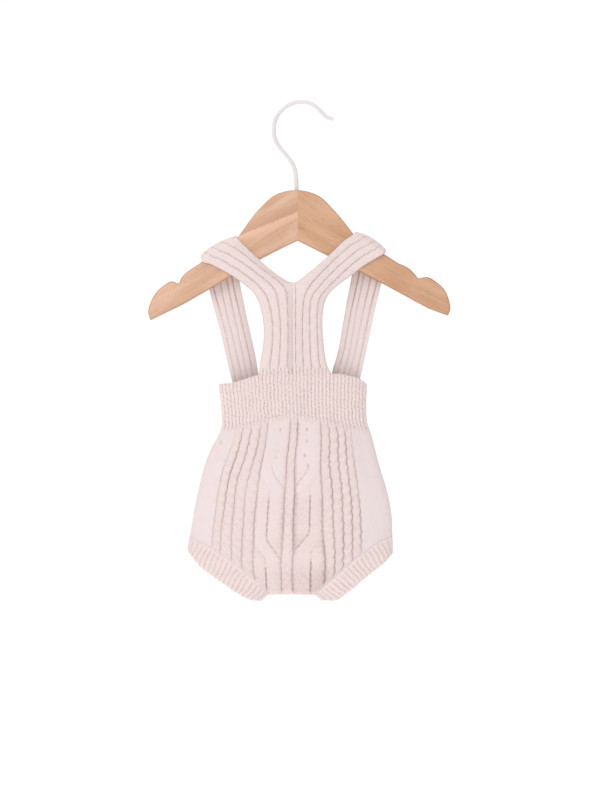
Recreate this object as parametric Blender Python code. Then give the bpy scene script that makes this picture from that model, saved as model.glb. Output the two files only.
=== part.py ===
"""Knitted suspender shorts for a baby, hanging on a child's wooden hanger.

Frame: metres, +Z up. The cabled front of the shorts faces -Y, and +X is to its right.
The origin is the underside of the hook's crown, where a peg or a rail carries it all.
Sizes below are in millimetres and are turned into metres when a mesh is made.
"""

import math

import bmesh
import bpy
import numpy as np

MM = 0.001

# ---------------------------------------------------------------- driving sizes, mm
SEAM = 0.3              # gap left between two pieces at a seam
KNIT = 1.7              # wall of the knitted cloth under its ribs
RIB = 0.95              # height of a rib of the waistband, leg bands and straps
EDGE_RIB = 0.33         # the lower rib at each edge of a strap
ROPE = 1.9              # height of the narrow ropes on the front
PLAIN = 0.8             # height of the plain side panels over the grooves
STRAND = 1.7            # height of a cable strand
CROSSING = 1.2          # how much higher the strand on top stands at a crossing
GATHER = 1.1            # height of the gathers under the back's waist seam
GATHERS = 15            # how many there are
GATHER_REACH = 0.42     # how far down the back they fade out, as a share of its height

WOOD = 12.0             # thickness of the hanger's arms
WIRE = 4.0              # diameter of the hook's wire

WAIST_RIBS = 40         # ribs across each half of the waistband
LEG_RIBS = 42           # ribs round each leg band
STRAP_RIBS = 4          # ribs across each strap

# ------------------------------------------------- the inside face of the body cloth
# height, left and right edge, and half the depth between front and back
RINGS = (
    (-262.0, -79.5, 65.0, 8.0),
    (-281.0, -79.0, 64.6, 8.5),
    (-298.0, -77.0, 63.8, 9.0),
    (-314.0, -75.8, 64.4, 9.6),
    (-322.0, -75.8, 65.8, 10.2),
    (-330.0, -79.2, 69.0, 11.2),
    (-346.0, -87.7, 73.8, 13.0),
    (-362.0, -93.6, 77.8, 14.3),
    (-378.0, -97.2, 81.8, 15.3),
    (-394.0, -100.8, 86.2, 16.0),
    (-410.0, -103.9, 88.9, 16.4),
    (-426.0, -106.4, 89.7, 16.5),
    (-442.0, -109.2, 89.9, 16.5),
    (-460.0, -109.6, 89.9, 16.5),
    (-500.0, -109.6, 89.9, 16.5),
)
FULLNESS = 2.4          # above 2, the front and back are flatter than an ellipse
CROTCH = -487.5         # lowest line of the inside, where front and back meet
CROTCH_TURN = -420.0    # from here down the cloth turns in towards the crotch
DEPTH_TO_WIDTH = 0.14   # of the body's ring, for spacing its ribs and gathers evenly

# Edges on the body. "across" runs from -1 at the left side seam to 1 at the right one.
# across, height
WAIST_TOP_FRONT = (
    (-1.0, -281.0), (-0.85, -279.3), (-0.68, -275.5), (-0.51, -271.6), (-0.4, -270.4),
    (0.0, -270.6), (0.47, -270.2), (0.64, -270.0), (0.81, -272.2), (0.94, -275.3), (1.0, -279.0),
)
WAIST_TOP_BACK = ((-1.0, -281.0), (-0.65, -283.0), (0.0, -288.0), (0.6, -282.0), (1.0, -279.0))
WAIST_SEAM_FRONT = (
    (-1.0, -324.0), (-0.83, -322.0), (-0.65, -319.4), (-0.39, -314.2), (-0.2, -311.8),
    (0.1, -311.2), (0.38, -314.0), (0.58, -318.2), (0.8, -322.4), (1.0, -324.0),
)
WAIST_SEAM_BACK = ((-1.0, -324.0), (-0.5, -327.5), (0.0, -329.0), (0.5, -327.5), (1.0, -324.0))
CROTCH_LEFT, CROTCH_RIGHT = -0.215, 0.25     # where the leg openings start on the crotch
LEG_SEAM = (
    (-1.0, -433.0), (-0.84, -440.5), (-0.68, -450.0), (-0.54, -459.5), (-0.4, -471.0),
    (-0.3, -480.5), (CROTCH_LEFT, CROTCH), (0.0, CROTCH), (CROTCH_RIGHT, CROTCH), (0.33, -481.5),
    (0.44, -472.0), (0.57, -460.3), (0.73, -447.8), (0.87, -438.5), (1.0, -432.0),
)
# The free edge of each leg band, from the outer side (0) to the crotch (1)
# along, x, height
LEG_EDGE_LEFT = (
    (0.0, -110.4, -447.5), (0.12, -101.8, -459.5), (0.3, -88.0, -470.5), (0.5, -74.0, -480.5),
    (0.7, -61.0, -489.5), (0.85, -51.0, -494.8), (1.0, -41.0, -496.0),
)
LEG_EDGE_RIGHT = (
    (0.0, 90.6, -450.5), (0.12, 84.6, -459.0), (0.3, 73.0, -468.0), (0.5, 60.5, -478.3),
    (0.7, 48.0, -488.6), (0.85, 36.5, -495.6), (1.0, 23.5, -495.2),
)
LEG_BAND_DRAW = 0.26    # share by which a leg band draws the opening in
CROTCH_CLEAR = 2.3      # room for the cloth's turn where a leg band passes the crotch

# ------------------------------------------------------ the pattern across the front
PATTERN_CENTRE = -0.0135
GROOVES = (0.047, 0.344, 0.450, 0.556, 0.658, 0.738)     # distance from the centre
CROSSINGS = (-373.0, -441.0)                             # heights of the cable crossings
CROSSING_LENGTH = 30.0
FIRST_GROOVE = -357.0                                    # above it the strands lie close

# ----------------------------------------------------------------------- the straps
# Each row is one place along a strap: the edge by the neck, then the edge by the arm.
# neck x, neck height, arm x, arm height
STRAP_FRONT_LEFT = (
    (-7.15, -270.0, -41.0, -270.5), (-7.15, -256.0, -39.0, -256.0),
    (-7.15, -241.0, -36.6, -241.0), (-7.15, -226.0, -36.0, -227.0),
    (-7.15, -212.0, -37.0, -214.0), (-7.15, -199.5, -39.5, -203.0),
    (-7.25, -189.5, -42.5, -195.5), (-8.0, -183.0, -45.8, -190.0),
    (-10.5, -178.3, -49.5, -185.8), (-16.5, -174.0, -54.5, -181.8),
    (-27.0, -167.0, -60.5, -177.2), (-38.0, -157.4, -68.5, -171.8),
    (-49.0, -147.4, -78.5, -166.4), (-57.5, -139.6, -88.5, -161.2),
)
STRAP_FRONT_RIGHT = (
    (-6.85, -270.0, 31.0, -270.5), (-6.85, -258.0, 26.0, -258.0),
    (-6.85, -241.0, 23.6, -241.0), (-6.85, -226.0, 22.4, -226.0),
    (-6.85, -212.0, 22.4, -213.0), (-6.85, -199.5, 23.8, -201.5),
    (-6.7, -189.5, 26.4, -194.5), (-5.8, -182.8, 29.4, -189.8),
    (-3.3, -177.6, 33.2, -185.8), (3.0, -172.2, 38.2, -181.5),
    (12.0, -165.4, 44.5, -176.8), (22.5, -156.4, 52.5, -170.8),
    (34.0, -146.2, 63.0, -162.8), (44.5, -136.4, 73.5, -156.4),
)
STRAP_BACK_LEFT = (
    (-63.0, -156.0, -93.5, -174.0), (-60.0, -180.0, -90.0, -190.0), (-56.0, -200.0, -85.5, -207.0),
    (-50.8, -224.0, -79.3, -230.0), (-45.5, -248.0, -73.8, -254.0),
    (-42.3, -266.0, -69.8, -270.0), (-39.5, -283.0, -67.0, -283.0),
)
STRAP_BACK_RIGHT = (
    (54.5, -152.0, 83.8, -167.0), (51.3, -175.0, 80.6, -184.0), (47.2, -196.0, 76.0, -202.5),
    (43.0, -220.0, 71.0, -225.5), (38.4, -246.0, 65.5, -251.5),
    (33.0, -265.0, 61.5, -269.0), (29.5, -282.0, 58.5, -282.0),
)
# Where each strap crosses the arm's top edge, as distances out along that edge
# front neck side, front arm side, back neck side, back arm side
CROSS_LEFT = (6.5, 48.0, 4.5, 45.5)
CROSS_RIGHT = (0.0, 37.0, 1.0, 37.5)
STRAP_REACH = WOOD / 2 + 0.5     # inside face of a strap, from the arm's middle plane
STRAP_SETTLES = 6                # rows from the waistband to where a strap lies flat
STRAP_SINK = 3.0                 # the strap starts to turn this far under the top edge
STRAP_CROWN = 4.3                # height of the turn over that, at the strap's edges
STRAP_PUFF = 2.1                 # how much more the middle of the strap rises

# ----------------------------------------------------------------------- the hanger
JOINT_X = -2.3                   # where the two arms meet
# The outline of the two arms together, from the left end over the top and back under.
# Each run is a smooth curve through its points, and straight lines join the runs.
# how many steps, then x and height of each point
HANGER_RUNS = (
    (9, (-149.6, -216.4), (-152.2, -208.0), (-149.8, -197.0), (-144.0, -187.2), (-135.5, -180.0),
     (-128.0, -176.3), (-122.0, -178.4)),
    (6, (-120.2, -178.2), (-118.2, -172.8), (-112.5, -167.0), (-104.5, -161.3)),
    (16, (-59.5, -127.2), (-42.0, -103.8), (-24.0, -89.6), (-3.0, -85.8), (18.0, -91.0),
     (36.0, -106.6), (54.0, -129.0)),
    (6, (98.0, -157.8), (109.0, -163.8), (115.2, -170.0), (117.9, -173.3)),
    (9, (119.8, -173.2), (126.5, -172.3), (137.0, -177.8), (144.8, -185.4), (149.8, -198.0),
     (150.7, -205.0), (148.2, -212.4)),
    (3, (128.0, -204.8), (56.0, -166.4), (22.0, -149.8), (JOINT_X, -137.8)),
    (4, (-20.0, -146.2), (-38.0, -155.2), (-60.0, -167.6), (-93.0, -187.2), (-117.0, -200.9)),
)
LEFT_SLOPE = ((-59.5, -127.2), (-104.5, -161.3))     # the straight top edge under each strap
RIGHT_SLOPE = ((54.0, -129.0), (98.0, -157.8))
ARM_EDGE = 2.4                   # rounding of the arms' edges
HOOK_SEAT = 22.0                 # depth of the hook's seat in the wood
HOOK_PLAY = 0.3
# The wire's centre line from the seat up and round the crown to the tip
# x, height
HOOK_LINE = (
    (-3.4, -107.0), (-3.5, -90.0), (-3.6, -78.0), (-4.2, -70.0), (-6.2, -62.5), (-9.6, -56.5),
    (-14.4, -50.5), (-19.4, -44.5), (-23.4, -38.5), (-25.6, -32.5), (-26.2, -26.5),
    (-25.7, -20.0), (-23.6, -13.5), (-19.4, -7.4), (-13.2, -2.3), (-6.0, 0.9),
    (1.2, WIRE / 2), (8.6, 1.1), (15.4, -2.5), (20.8, -7.6), (25.0, -11.9), (29.4, -14.3), (33.4, -14.9),
)
HOOK_STATIONS = 42


# ------------------------------------------------------------------ general helpers
def smooth_through(table, at):
    """Values of a table's later columns at the given places in its first column.

    A cubic runs through every row, with each row's slope taken from its neighbours.
    """
    rows = np.array(table, float)
    place, values = rows[:, 0], rows[:, 1:]
    slope = np.gradient(values, place, axis=0)
    at = np.asarray(at, float)
    k = np.clip(np.searchsorted(place, at) - 1, 0, len(place) - 2)
    step = place[k + 1] - place[k]
    t = ((at - place[k]) / step)[..., None]
    step = step[..., None]
    near = (2 * t**3 - 3 * t**2 + 1) * values[k] + (t**3 - 2 * t**2 + t) * step * slope[k]
    far = (3 * t**2 - 2 * t**3) * values[k + 1] + (t**3 - t**2) * step * slope[k + 1]
    found = near + far
    return found[..., 0] if found.shape[-1] == 1 else found


def smooth_run(points, steps):
    """Evenly spaced points of a smooth curve through a few given ones."""
    points = np.array(points, float)
    lengths = np.linalg.norm(np.diff(points, axis=0), axis=1)
    along = np.concatenate([[0], np.cumsum(lengths)])
    table = np.column_stack([along, points])
    return smooth_through(table, np.linspace(0, along[-1], steps + 1))


def ease(t):
    """0 below 0, 1 above 1, and a smooth step between."""
    t = np.clip(t, 0.0, 1.0)
    return t * t * (3 - 2 * t)


def plain_material(name, colour, roughness, metallic=0.0):
    material = bpy.data.materials.new(name)
    material.use_nodes = True
    shader = material.node_tree.nodes["Principled BSDF"]
    shader.inputs["Base Color"].default_value = (*colour, 1.0)
    shader.inputs["Roughness"].default_value = roughness
    shader.inputs["Metallic"].default_value = metallic
    material.diffuse_color = (*colour, 1.0)
    return material


def surface_normals(surface, u, v, outward, level_ends=False):
    """Unit normals of a surface function over a grid, turned the way outward says.

    Level ends keep the first and the last row of a wall from leaning over their seams.
    """
    small = 1e-3
    along_u = surface(u + small, v) - surface(u - small, v)
    along_v = surface(u, np.minimum(v + small, 1.0)) - surface(u, np.maximum(v - small, 0.0))
    normal = np.cross(along_u, along_v) * outward
    if level_ends:
        normal[[0, -1], :, 2] = 0.0
    return normal / np.linalg.norm(normal, axis=-1, keepdims=True)


def rim_faces(bm, outer, inner, flip):
    """Closes one edge of a wall, from many outer points to fewer inner ones."""
    each = (len(outer) - 1) // (len(inner) - 1)
    for k in range(len(inner) - 1):
        run = outer[k * each:(k + 1) * each + 1]
        middle = len(run) // 2
        fans = [(inner[k], run[j], run[j + 1]) for j in range(middle)]
        fans.append((inner[k], run[middle], inner[k + 1]))
        fans += [(inner[k + 1], run[j], run[j + 1]) for j in range(middle, len(run) - 1)]
        for fan in fans:
            bm.faces.new(fan[::-1] if flip else fan)


def cloth_wall(name, inside, outside, coarse, material, ring=False):
    """A closed wall of cloth: a ribbed outer grid over a plain, coarser inner one.

    inside and outside are grids of points, rows by columns. coarse says how many outer
    rows and columns one inner cell covers. A ring closes on itself across its columns.
    """
    skip_rows, skip_columns = coarse
    inside = inside[::skip_rows, ::skip_columns]
    bm = bmesh.new()
    grids = []
    for grid in (outside, inside):
        shown = grid[:, :-1] if ring else grid
        made = [[bm.verts.new(point * MM) for point in row] for row in shown]
        grids.append([row + row[:1] if ring else row for row in made])
    for grid, flip in ((grids[0], False), (grids[1], True)):
        for low, high in zip(grid, grid[1:]):
            for k in range(len(low) - 1):
                quad = (low[k], low[k + 1], high[k + 1], high[k])
                bm.faces.new(quad[::-1] if flip else quad)
    outer, inner = grids
    rim_faces(bm, outer[0], inner[0], True)
    rim_faces(bm, outer[-1], inner[-1], False)
    if not ring:
        rim_faces(bm, [row[0] for row in outer], [row[0] for row in inner], False)
        rim_faces(bm, [row[-1] for row in outer], [row[-1] for row in inner], True)
    bmesh.ops.recalc_face_normals(bm, faces=bm.faces)
    if bm.calc_volume(signed=True) < 0:
        bmesh.ops.reverse_faces(bm, faces=bm.faces)
    mesh = bpy.data.meshes.new(name)
    bm.to_mesh(mesh)
    bm.free()
    return add_object(name, mesh, material)


def add_object(name, mesh, material):
    thing = bpy.data.objects.new(name, mesh)
    mesh.materials.append(material)
    parts.objects.link(thing)
    return thing


# ------------------------------------------------------------- the shape of the body
def ring_at(height):
    """Middle, half width and half depth of the body's inside at some heights."""
    table = [(-z, left, right, depth) for z, left, right, depth in RINGS]
    found = smooth_through(table, -np.asarray(height, float))
    left, right, depth = found[..., 0], found[..., 1], found[..., 2]
    turn = np.clip((CROTCH_TURN - height) / (CROTCH_TURN - CROTCH), 0.0, 1.0)
    return (left + right) / 2, (right - left) / 2, depth * np.sqrt(1 - turn**2)


def body_point(across, turn_sign, height, side):
    """A point of the cloth's inside. side is -1 for the front and 1 for the back.

    turn_sign is negative where a search for a slope steps round the side seam.
    """
    middle, half_width, half_depth = ring_at(height)
    depth = half_depth * np.sqrt(np.maximum(1 - np.abs(across)**FULLNESS, 0.0))
    y = side * (SEAM / 2 + turn_sign * depth)
    return np.stack([middle + half_width * across, y, height + 0 * across], axis=-1)


def body_surface(top, bottom, side):
    """The function that gives a body panel's inside from (turn, down).

    turn runs from 0 at the left side seam to pi at the right one, and down from 0 to 1.
    Each panel stops short of the next by half a seam at the waist and a seam at the legs.
    """
    def surface(turn, down):
        across = -np.cos(turn)
        high, low = smooth_through(top, across), smooth_through(bottom, across)
        low = np.maximum(low, CROTCH) + SEAM * ease(low - CROTCH)
        return body_point(across, np.sign(np.sin(turn)), high + (low - high) * down, side)

    return surface


def panel_wall(name, surface, turns, rows, side, relief, coarse, material):
    """A wall over a body surface. relief gives its outer form from across and height."""
    down, turn = np.meshgrid(rows, turns, indexing="ij")
    inside = surface(turn, down)
    normal = surface_normals(surface, turn, down, side)
    height = inside[..., 2]
    raised = relief(-np.cos(turn), height, down)
    outside = inside + normal * (KNIT + raised)[..., None]
    return cloth_wall(name, inside, outside, coarse, material)


def crowded_rows(count, top, crowds):
    """Shares of the way from the top to the crotch, closer together at some heights.

    Each crowd is a height, how far it reaches and how much closer the rows lie there.
    """
    height = np.linspace(top, CROTCH, 500)
    density = np.ones_like(height)
    for place, reach, closer in crowds:
        density += closer * np.exp(-((height - place) / reach)**2)
    run = np.concatenate([[0], np.cumsum((density[1:] + density[:-1]) / 2)])
    return np.interp(np.linspace(0, run[-1], count + 1), run, np.linspace(0, 1, 500))


def even_turns(count):
    """Turns that are evenly spaced along the cloth of a flat ring, seam to seam."""
    fine = np.linspace(0, math.pi, 2000)
    x = -np.cos(fine)
    y = DEPTH_TO_WIDTH * np.sqrt(np.maximum(1 - np.abs(x)**FULLNESS, 0.0))
    run = np.concatenate([[0], np.cumsum(np.hypot(np.diff(x), np.diff(y)))])
    return np.interp(np.linspace(0, run[-1], count + 1), run, fine)


def rib_form(count, points_per_rib):
    """Heights of ribs along a row: a groove, then a flat top, at each rib."""
    phase = np.arange(count * points_per_rib + 1) % points_per_rib
    return np.where(phase == 0, 0.0, RIB)


# ------------------------------------------------------------------ the cabled front
def ridge(u):
    """A round ridge over -1 to 1, 0 at both ends and 1 in the middle."""
    return np.maximum(1 - np.abs(u)**2.6, 0.0)**0.6


def cable(place, height):
    """Two strands that swap sides at each crossing.

    place runs from -1 at the outer side to 1 at the middle of the front. The strand that
    comes from the outer side goes over the other one.
    """
    swaps = sum(np.clip((z + CROSSING_LENGTH / 2 - height) / CROSSING_LENGTH, 0, 1) for z in CROSSINGS)
    swing = np.cos(math.pi * swaps)
    lift = np.abs(np.sin(math.pi * swaps))
    first_on_top = np.floor(swaps) % 2 == 0
    half = 0.5 * (1 + 0.2 * lift)
    found = np.zeros_like(place)
    for start, on_top in ((-0.5, first_on_top), (0.5, ~first_on_top)):
        raised = STRAND + np.where(on_top, CROSSING, -0.3 * CROSSING) * lift
        found = np.maximum(found, ridge((place - start * swing) / half) * raised)
    close = ease((height - FIRST_GROOVE) / 8) * ease((0.75 - np.abs(place)) / 0.3)
    return np.maximum(found, 0.8 * STRAND * close)


def front_relief(across, height, _down):
    """Ropes, cables and plain sides of the front panel."""
    place = across - PATTERN_CENTRE
    out = np.abs(place)
    found = np.where(out > GROOVES[-1], PLAIN * ease((out - GROOVES[-1]) / 0.03), 0.0)
    found += ROPE * ridge(place / GROOVES[0])
    for start, end in zip(GROOVES[1:], GROOVES[2:]):
        found += ROPE * ridge((out - (start + end) / 2) / ((end - start) / 2))
    middle, half = (GROOVES[0] + GROOVES[1]) / 2, (GROOVES[1] - GROOVES[0]) / 2
    local = (middle - out) / half
    return found + np.where(np.abs(local) < 1, cable(local, height), 0.0)


def front_turns():
    """Columns of the front panel: a few on the plain sides, more on ropes and cables."""
    def spread(start, end, count):
        return [start + (end - start) * k / count for k in range(count)]

    half = spread(0.0, GROOVES[0], 2) + spread(GROOVES[0], GROOVES[1], 10)
    for start, end in zip(GROOVES[1:], GROOVES[2:]):
        half += [start + (end - start) * share for share in (0.0, 0.2, 0.5, 0.8)]
    half.append(GROOVES[-1])
    patterned = [math.acos(place - PATTERN_CENTRE) for place in (*half, *(-p for p in half[1:]))]
    patterned.sort()
    left = spread(0.0, patterned[0], 7)
    right = spread(math.pi, patterned[-1], 7)[::-1]
    return np.array(left + patterned + right)


def back_relief(across, _height, down):
    """Gathers that die out below the waist seam of the plain back panel."""
    waves = np.cos(across * math.pi * GATHERS) * ease((1 - np.abs(across)) / 0.12)
    return PLAIN + GATHER * 0.5 * (1 + waves) * (1 - ease(down / GATHER_REACH))


def build_body(knit):
    rows = crowded_rows(33, -312.0, [(z, 14.0, 1.6) for z in CROSSINGS] + [(CROTCH, 6.0, 7.0)])
    front = body_surface([(a, z - SEAM / 2) for a, z in WAIST_SEAM_FRONT], LEG_SEAM, -1)
    panel_wall("front_panel", front, front_turns(), rows, -1, front_relief, (3, 5), knit)
    rows = crowded_rows(17, -328.0, [(-328.0, 25.0, 1.5), (CROTCH, 9.0, 6.0)])
    back = body_surface([(a, z - SEAM / 2) for a, z in WAIST_SEAM_BACK], LEG_SEAM, 1)
    panel_wall("back_panel", back, even_turns(60), rows, 1, back_relief, (1, 5), knit)


def build_waistband(knit):
    ribs = rib_form(WAIST_RIBS, 3)
    for name, side, top, seam in (
        ("waistband_front", -1, WAIST_TOP_FRONT, WAIST_SEAM_FRONT),
        ("waistband_back", 1, WAIST_TOP_BACK, WAIST_SEAM_BACK),
    ):
        surface = body_surface(top, [(a, z + SEAM / 2) for a, z in seam], side)
        panel_wall(name, surface, even_turns(WAIST_RIBS * 3), np.linspace(0, 1, 5), side,
                   lambda across, _height, _down: ribs + 0 * across, (2, 6), knit)


# ---------------------------------------------------------------------- the leg bands
def leg_surface(edge, side_seam, crotch_corner):
    """The function for a leg band's inside: turn goes round it, down goes to its edge.

    Turn 0 is the outer side of the leg, pi is the crotch, and the front comes first.
    """
    def surface(turn, down):
        along = (1 - np.cos(turn)) / 2
        across = side_seam + (crotch_corner - side_seam) * along
        height = np.maximum(smooth_through(LEG_SEAM, across), CROTCH)
        seam = body_point(across, 1.0, height, 1)
        open_half = seam[..., 1] - SEAM / 2
        free = smooth_through(edge, along)
        clear = SEAM + CROTCH_CLEAR * ease((along - 0.8) / 0.2)
        reach = np.hypot(free[..., 0] - seam[..., 0], free[..., 1] - seam[..., 2])
        share = clear / reach + (1 - clear / reach) * down
        x = seam[..., 0] + (free[..., 0] - seam[..., 0]) * share
        z = seam[..., 2] + (free[..., 1] - seam[..., 2]) * share
        y = -np.sign(np.sin(turn)) * open_half * (1 - LEG_BAND_DRAW * share)
        return np.stack([x, y, z], axis=-1)

    return surface


def even_loop(surface, count):
    """Turns evenly spaced round the middle of a leg band."""
    fine = np.linspace(0, 2 * math.pi, 2000)
    line = surface(fine, np.full_like(fine, 0.5))
    run = np.concatenate([[0], np.cumsum(np.linalg.norm(np.diff(line, axis=0), axis=1))])
    return np.interp(np.linspace(0, run[-1], count + 1), run, fine)


def build_leg_bands(knit):
    ribs = rib_form(LEG_RIBS, 3)
    for name, edge, side_seam, corner, outward in (
        ("leg_band_left", LEG_EDGE_LEFT, -1.0, CROTCH_LEFT, -1),
        ("leg_band_right", LEG_EDGE_RIGHT, 1.0, CROTCH_RIGHT, 1),
    ):
        surface = leg_surface(edge, side_seam, corner)
        down, turn = np.meshgrid(np.linspace(0, 1, 4), even_loop(surface, LEG_RIBS * 3), indexing="ij")
        inside = surface(turn, down)
        normal = surface_normals(surface, turn, down, outward)
        outside = inside + normal * (KNIT + ribs)[None, :, None]
        cloth_wall(name, inside, outside, (3, 6), knit, ring=True)


# ------------------------------------------------------------------------- the straps
def arm_top_edge(slope):
    """Start, outward direction and upward direction of one arm's straight top edge."""
    start, end = np.array(slope)
    outward = (end - start) / np.linalg.norm(end - start)
    upward = np.array([-outward[1], outward[0]]) * np.sign(outward[0])
    return start, outward, upward


def strap_stations(front, back, crossing, slope):
    """Stations along a strap: a point by the neck, one by the arm and the puff between."""
    start, outward, upward = arm_top_edge(slope)
    flat_cloth = [0.0, 0.0, 0.0]

    def hanging(row, side, edge, share, last):
        pair = []
        for x, z in (row[:2], row[2:]):
            if last:
                z = band_edge(x, edge) + SEAM
            pair += [x, side * (STRAP_REACH + (band_depth(x, z) - STRAP_REACH) * share), z]
        return pair + flat_cloth

    def over_arm(swing):
        height = STRAP_CROWN * math.sin(swing) - STRAP_SINK
        pair = []
        for front_place, back_place in (crossing[::2], crossing[1::2]):
            place = front_place + (back_place - front_place) * swing / math.pi
            x, z = start + outward * place + upward * height
            pair += [x, -STRAP_REACH * math.cos(swing), z]
        puff_x, puff_z = upward * STRAP_PUFF * math.sin(swing)**2
        return pair + [puff_x, 0.0, puff_z]

    stations = [hanging(row, -1, WAIST_TOP_FRONT, 1 - ease(k / STRAP_SETTLES), k == 0)
                for k, row in enumerate(front)]
    stations += [over_arm(swing) for swing in np.linspace(0, math.pi, 7)]
    end = len(back) - 1
    stations += [hanging(row, 1, WAIST_TOP_BACK, ease((k - 1) / (end - 1)), k == end)
                 for k, row in enumerate(back)]
    return stations


def band_depth(x, height):
    """Half depth of the body's inside at a place across it."""
    middle, half_width, half_depth = ring_at(height)
    across = np.clip((x - middle) / half_width, -1, 1)
    return SEAM / 2 + half_depth * np.sqrt(np.maximum(1 - np.abs(across)**FULLNESS, 0.0))


def band_edge(x, edge):
    """Height of the waistband's top edge over a place across it."""
    height = np.full_like(np.asarray(x, float), -275.0)
    for _ in range(3):
        middle, half_width, _ = ring_at(height)
        height = smooth_through(edge, (x - middle) / half_width)
    return height


def build_straps(knit):
    ribs = rib_form(STRAP_RIBS, 3)
    ribs[0] = ribs[-1] = EDGE_RIB
    across = np.linspace(0, 1, STRAP_RIBS * 3 + 1)
    for name, front, back, crossing, slope, outward in (
        ("strap_left", STRAP_FRONT_LEFT, STRAP_BACK_LEFT, CROSS_LEFT, LEFT_SLOPE, -1),
        ("strap_right", STRAP_FRONT_RIGHT, STRAP_BACK_RIGHT, CROSS_RIGHT, RIGHT_SLOPE, 1),
    ):
        stations = strap_stations(front, back, crossing, slope)
        table = [(k, *row) for k, row in enumerate(stations)]

        def surface(u, v, table=table, last=len(stations) - 1):
            found = smooth_through(table, v * last)
            share = u[..., None]
            puff = 4 * share * (1 - share) * found[..., 6:]
            return found[..., :3] * (1 - share) + found[..., 3:6] * share + puff

        along = np.linspace(0, 1, 43)
        v, u = np.meshgrid(along, across, indexing="ij")
        inside = surface(u, v)
        inside[0, :, 2] = band_edge(inside[0, :, 0], WAIST_TOP_FRONT) + SEAM
        inside[-1, :, 2] = band_edge(inside[-1, :, 0], WAIST_TOP_BACK) + SEAM
        normal = surface_normals(surface, u, v, outward, level_ends=True)
        outside = inside + normal * (KNIT + ribs)[None, :, None]
        cloth_wall(name, inside, outside, (1, 4), knit)


# ------------------------------------------------------------------------- the hanger
def build_arm(name, side, wood):
    """One arm: the hanger's outline made solid, its edges rounded, cut at the middle."""
    outline = [point for steps, *points in HANGER_RUNS for point in smooth_run(points, steps)]
    bm = bmesh.new()
    bmesh.ops.create_circle(bm, cap_ends=True, radius=1.0, segments=len(outline))
    bm.verts.ensure_lookup_table()
    for vert, (x, z) in zip(bm.verts, outline):
        vert.co = (x * MM, -WOOD / 2 * MM, z * MM)
    made = bmesh.ops.extrude_face_region(bm, geom=bm.faces[:])["geom"]
    far = [v for v in made if isinstance(v, bmesh.types.BMVert)]
    bmesh.ops.translate(bm, verts=far, vec=(0, WOOD * MM, 0))
    bmesh.ops.recalc_face_normals(bm, faces=bm.faces)
    rims = [e for e in bm.edges if abs(e.verts[0].co.y - e.verts[1].co.y) < 1e-6]
    bmesh.ops.bevel(bm, geom=rims, offset=ARM_EDGE * MM, segments=2, profile=0.5, affect="EDGES",
                    material=-1)
    everything = bm.verts[:] + bm.edges[:] + bm.faces[:]
    plane = (JOINT_X + side * SEAM / 2) * MM
    cut = bmesh.ops.bisect_plane(bm, geom=everything, plane_co=(plane, 0, 0),
                                 plane_no=(-side, 0, 0), clear_outer=True)
    edges = [e for e in cut["geom_cut"] if isinstance(e, bmesh.types.BMEdge)]
    bmesh.ops.contextual_create(bm, geom=edges)
    bmesh.ops.recalc_face_normals(bm, faces=bm.faces)
    bmesh.ops.triangulate(bm, faces=[f for f in bm.faces if len(f.verts) > 4])
    mesh = bpy.data.meshes.new(name)
    bm.to_mesh(mesh)
    bm.free()
    arm = add_object(name, mesh, wood)
    seat = arm.modifiers.new("hook seat", "BOOLEAN")
    seat.operation = "DIFFERENCE"
    seat.object = bpy.data.objects["hook_seat_cutter"]


def build_hook(metal):
    """The bent wire, and the cutter that makes its seat in the wood."""
    runs = [(k, x, z) for k, (x, z) in enumerate(HOOK_LINE)]
    line = smooth_through(runs, np.linspace(0, len(runs) - 1, HOOK_STATIONS))
    curve = bpy.data.curves.new("hook", "CURVE")
    curve.dimensions = "3D"
    curve.bevel_depth = WIRE / 2 * MM
    curve.bevel_resolution = 2
    curve.use_fill_caps = True
    spline = curve.splines.new("POLY")
    spline.points.add(len(line) - 1)
    for point, (x, z) in zip(spline.points, line):
        point.co = (x * MM, 0, z * MM, 1)
    hook = bpy.data.objects.new("hook", curve)
    curve.materials.append(metal)
    parts.objects.link(hook)

    foot_x, foot_z = HOOK_LINE[0]
    height = HOOK_SEAT * 2
    bpy.ops.mesh.primitive_cylinder_add(
        vertices=16, radius=(WIRE / 2 + HOOK_PLAY) * MM, depth=height * MM,
        location=(foot_x * MM, 0, (foot_z - HOOK_PLAY + height / 2) * MM))
    cutter = bpy.context.object
    cutter.name = "hook_seat_cutter"
    cutter.hide_render = True
    cutter.display_type = "WIRE"
    for collection in cutter.users_collection:
        collection.objects.unlink(cutter)
    cutters.objects.link(cutter)


for leftover in list(bpy.data.objects):
    bpy.data.objects.remove(leftover)
parts = bpy.data.collections.new("suspender_shorts")
cutters = bpy.data.collections.new("cutters")
bpy.context.scene.collection.children.link(parts)
bpy.context.scene.collection.children.link(cutters)

knit_cotton = plain_material("knit_cotton", (0.82, 0.69, 0.66), 0.9)
beech = plain_material("beech", (0.72, 0.46, 0.30), 0.5)
white_metal = plain_material("white_metal", (0.80, 0.77, 0.78), 0.35, 0.4)

build_hook(white_metal)
build_arm("hanger_arm_left", -1, beech)
build_arm("hanger_arm_right", 1, beech)
build_straps(knit_cotton)
build_waistband(knit_cotton)
build_body(knit_cotton)
build_leg_bands(knit_cotton)
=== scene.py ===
# %% [markdown]
# # Knitted suspender shorts on a child's hanger
# A pair of cable-knit shorts for a baby hangs by its two ribbed straps from a small beech
# hanger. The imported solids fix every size. This lesson dresses them: each knitted piece
# becomes a thin wall with its own ropes, ribs and soft creases, and each finish is built
# from shader nodes. Sizes are written in millimetres, as a knitter would note them.

import math

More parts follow.
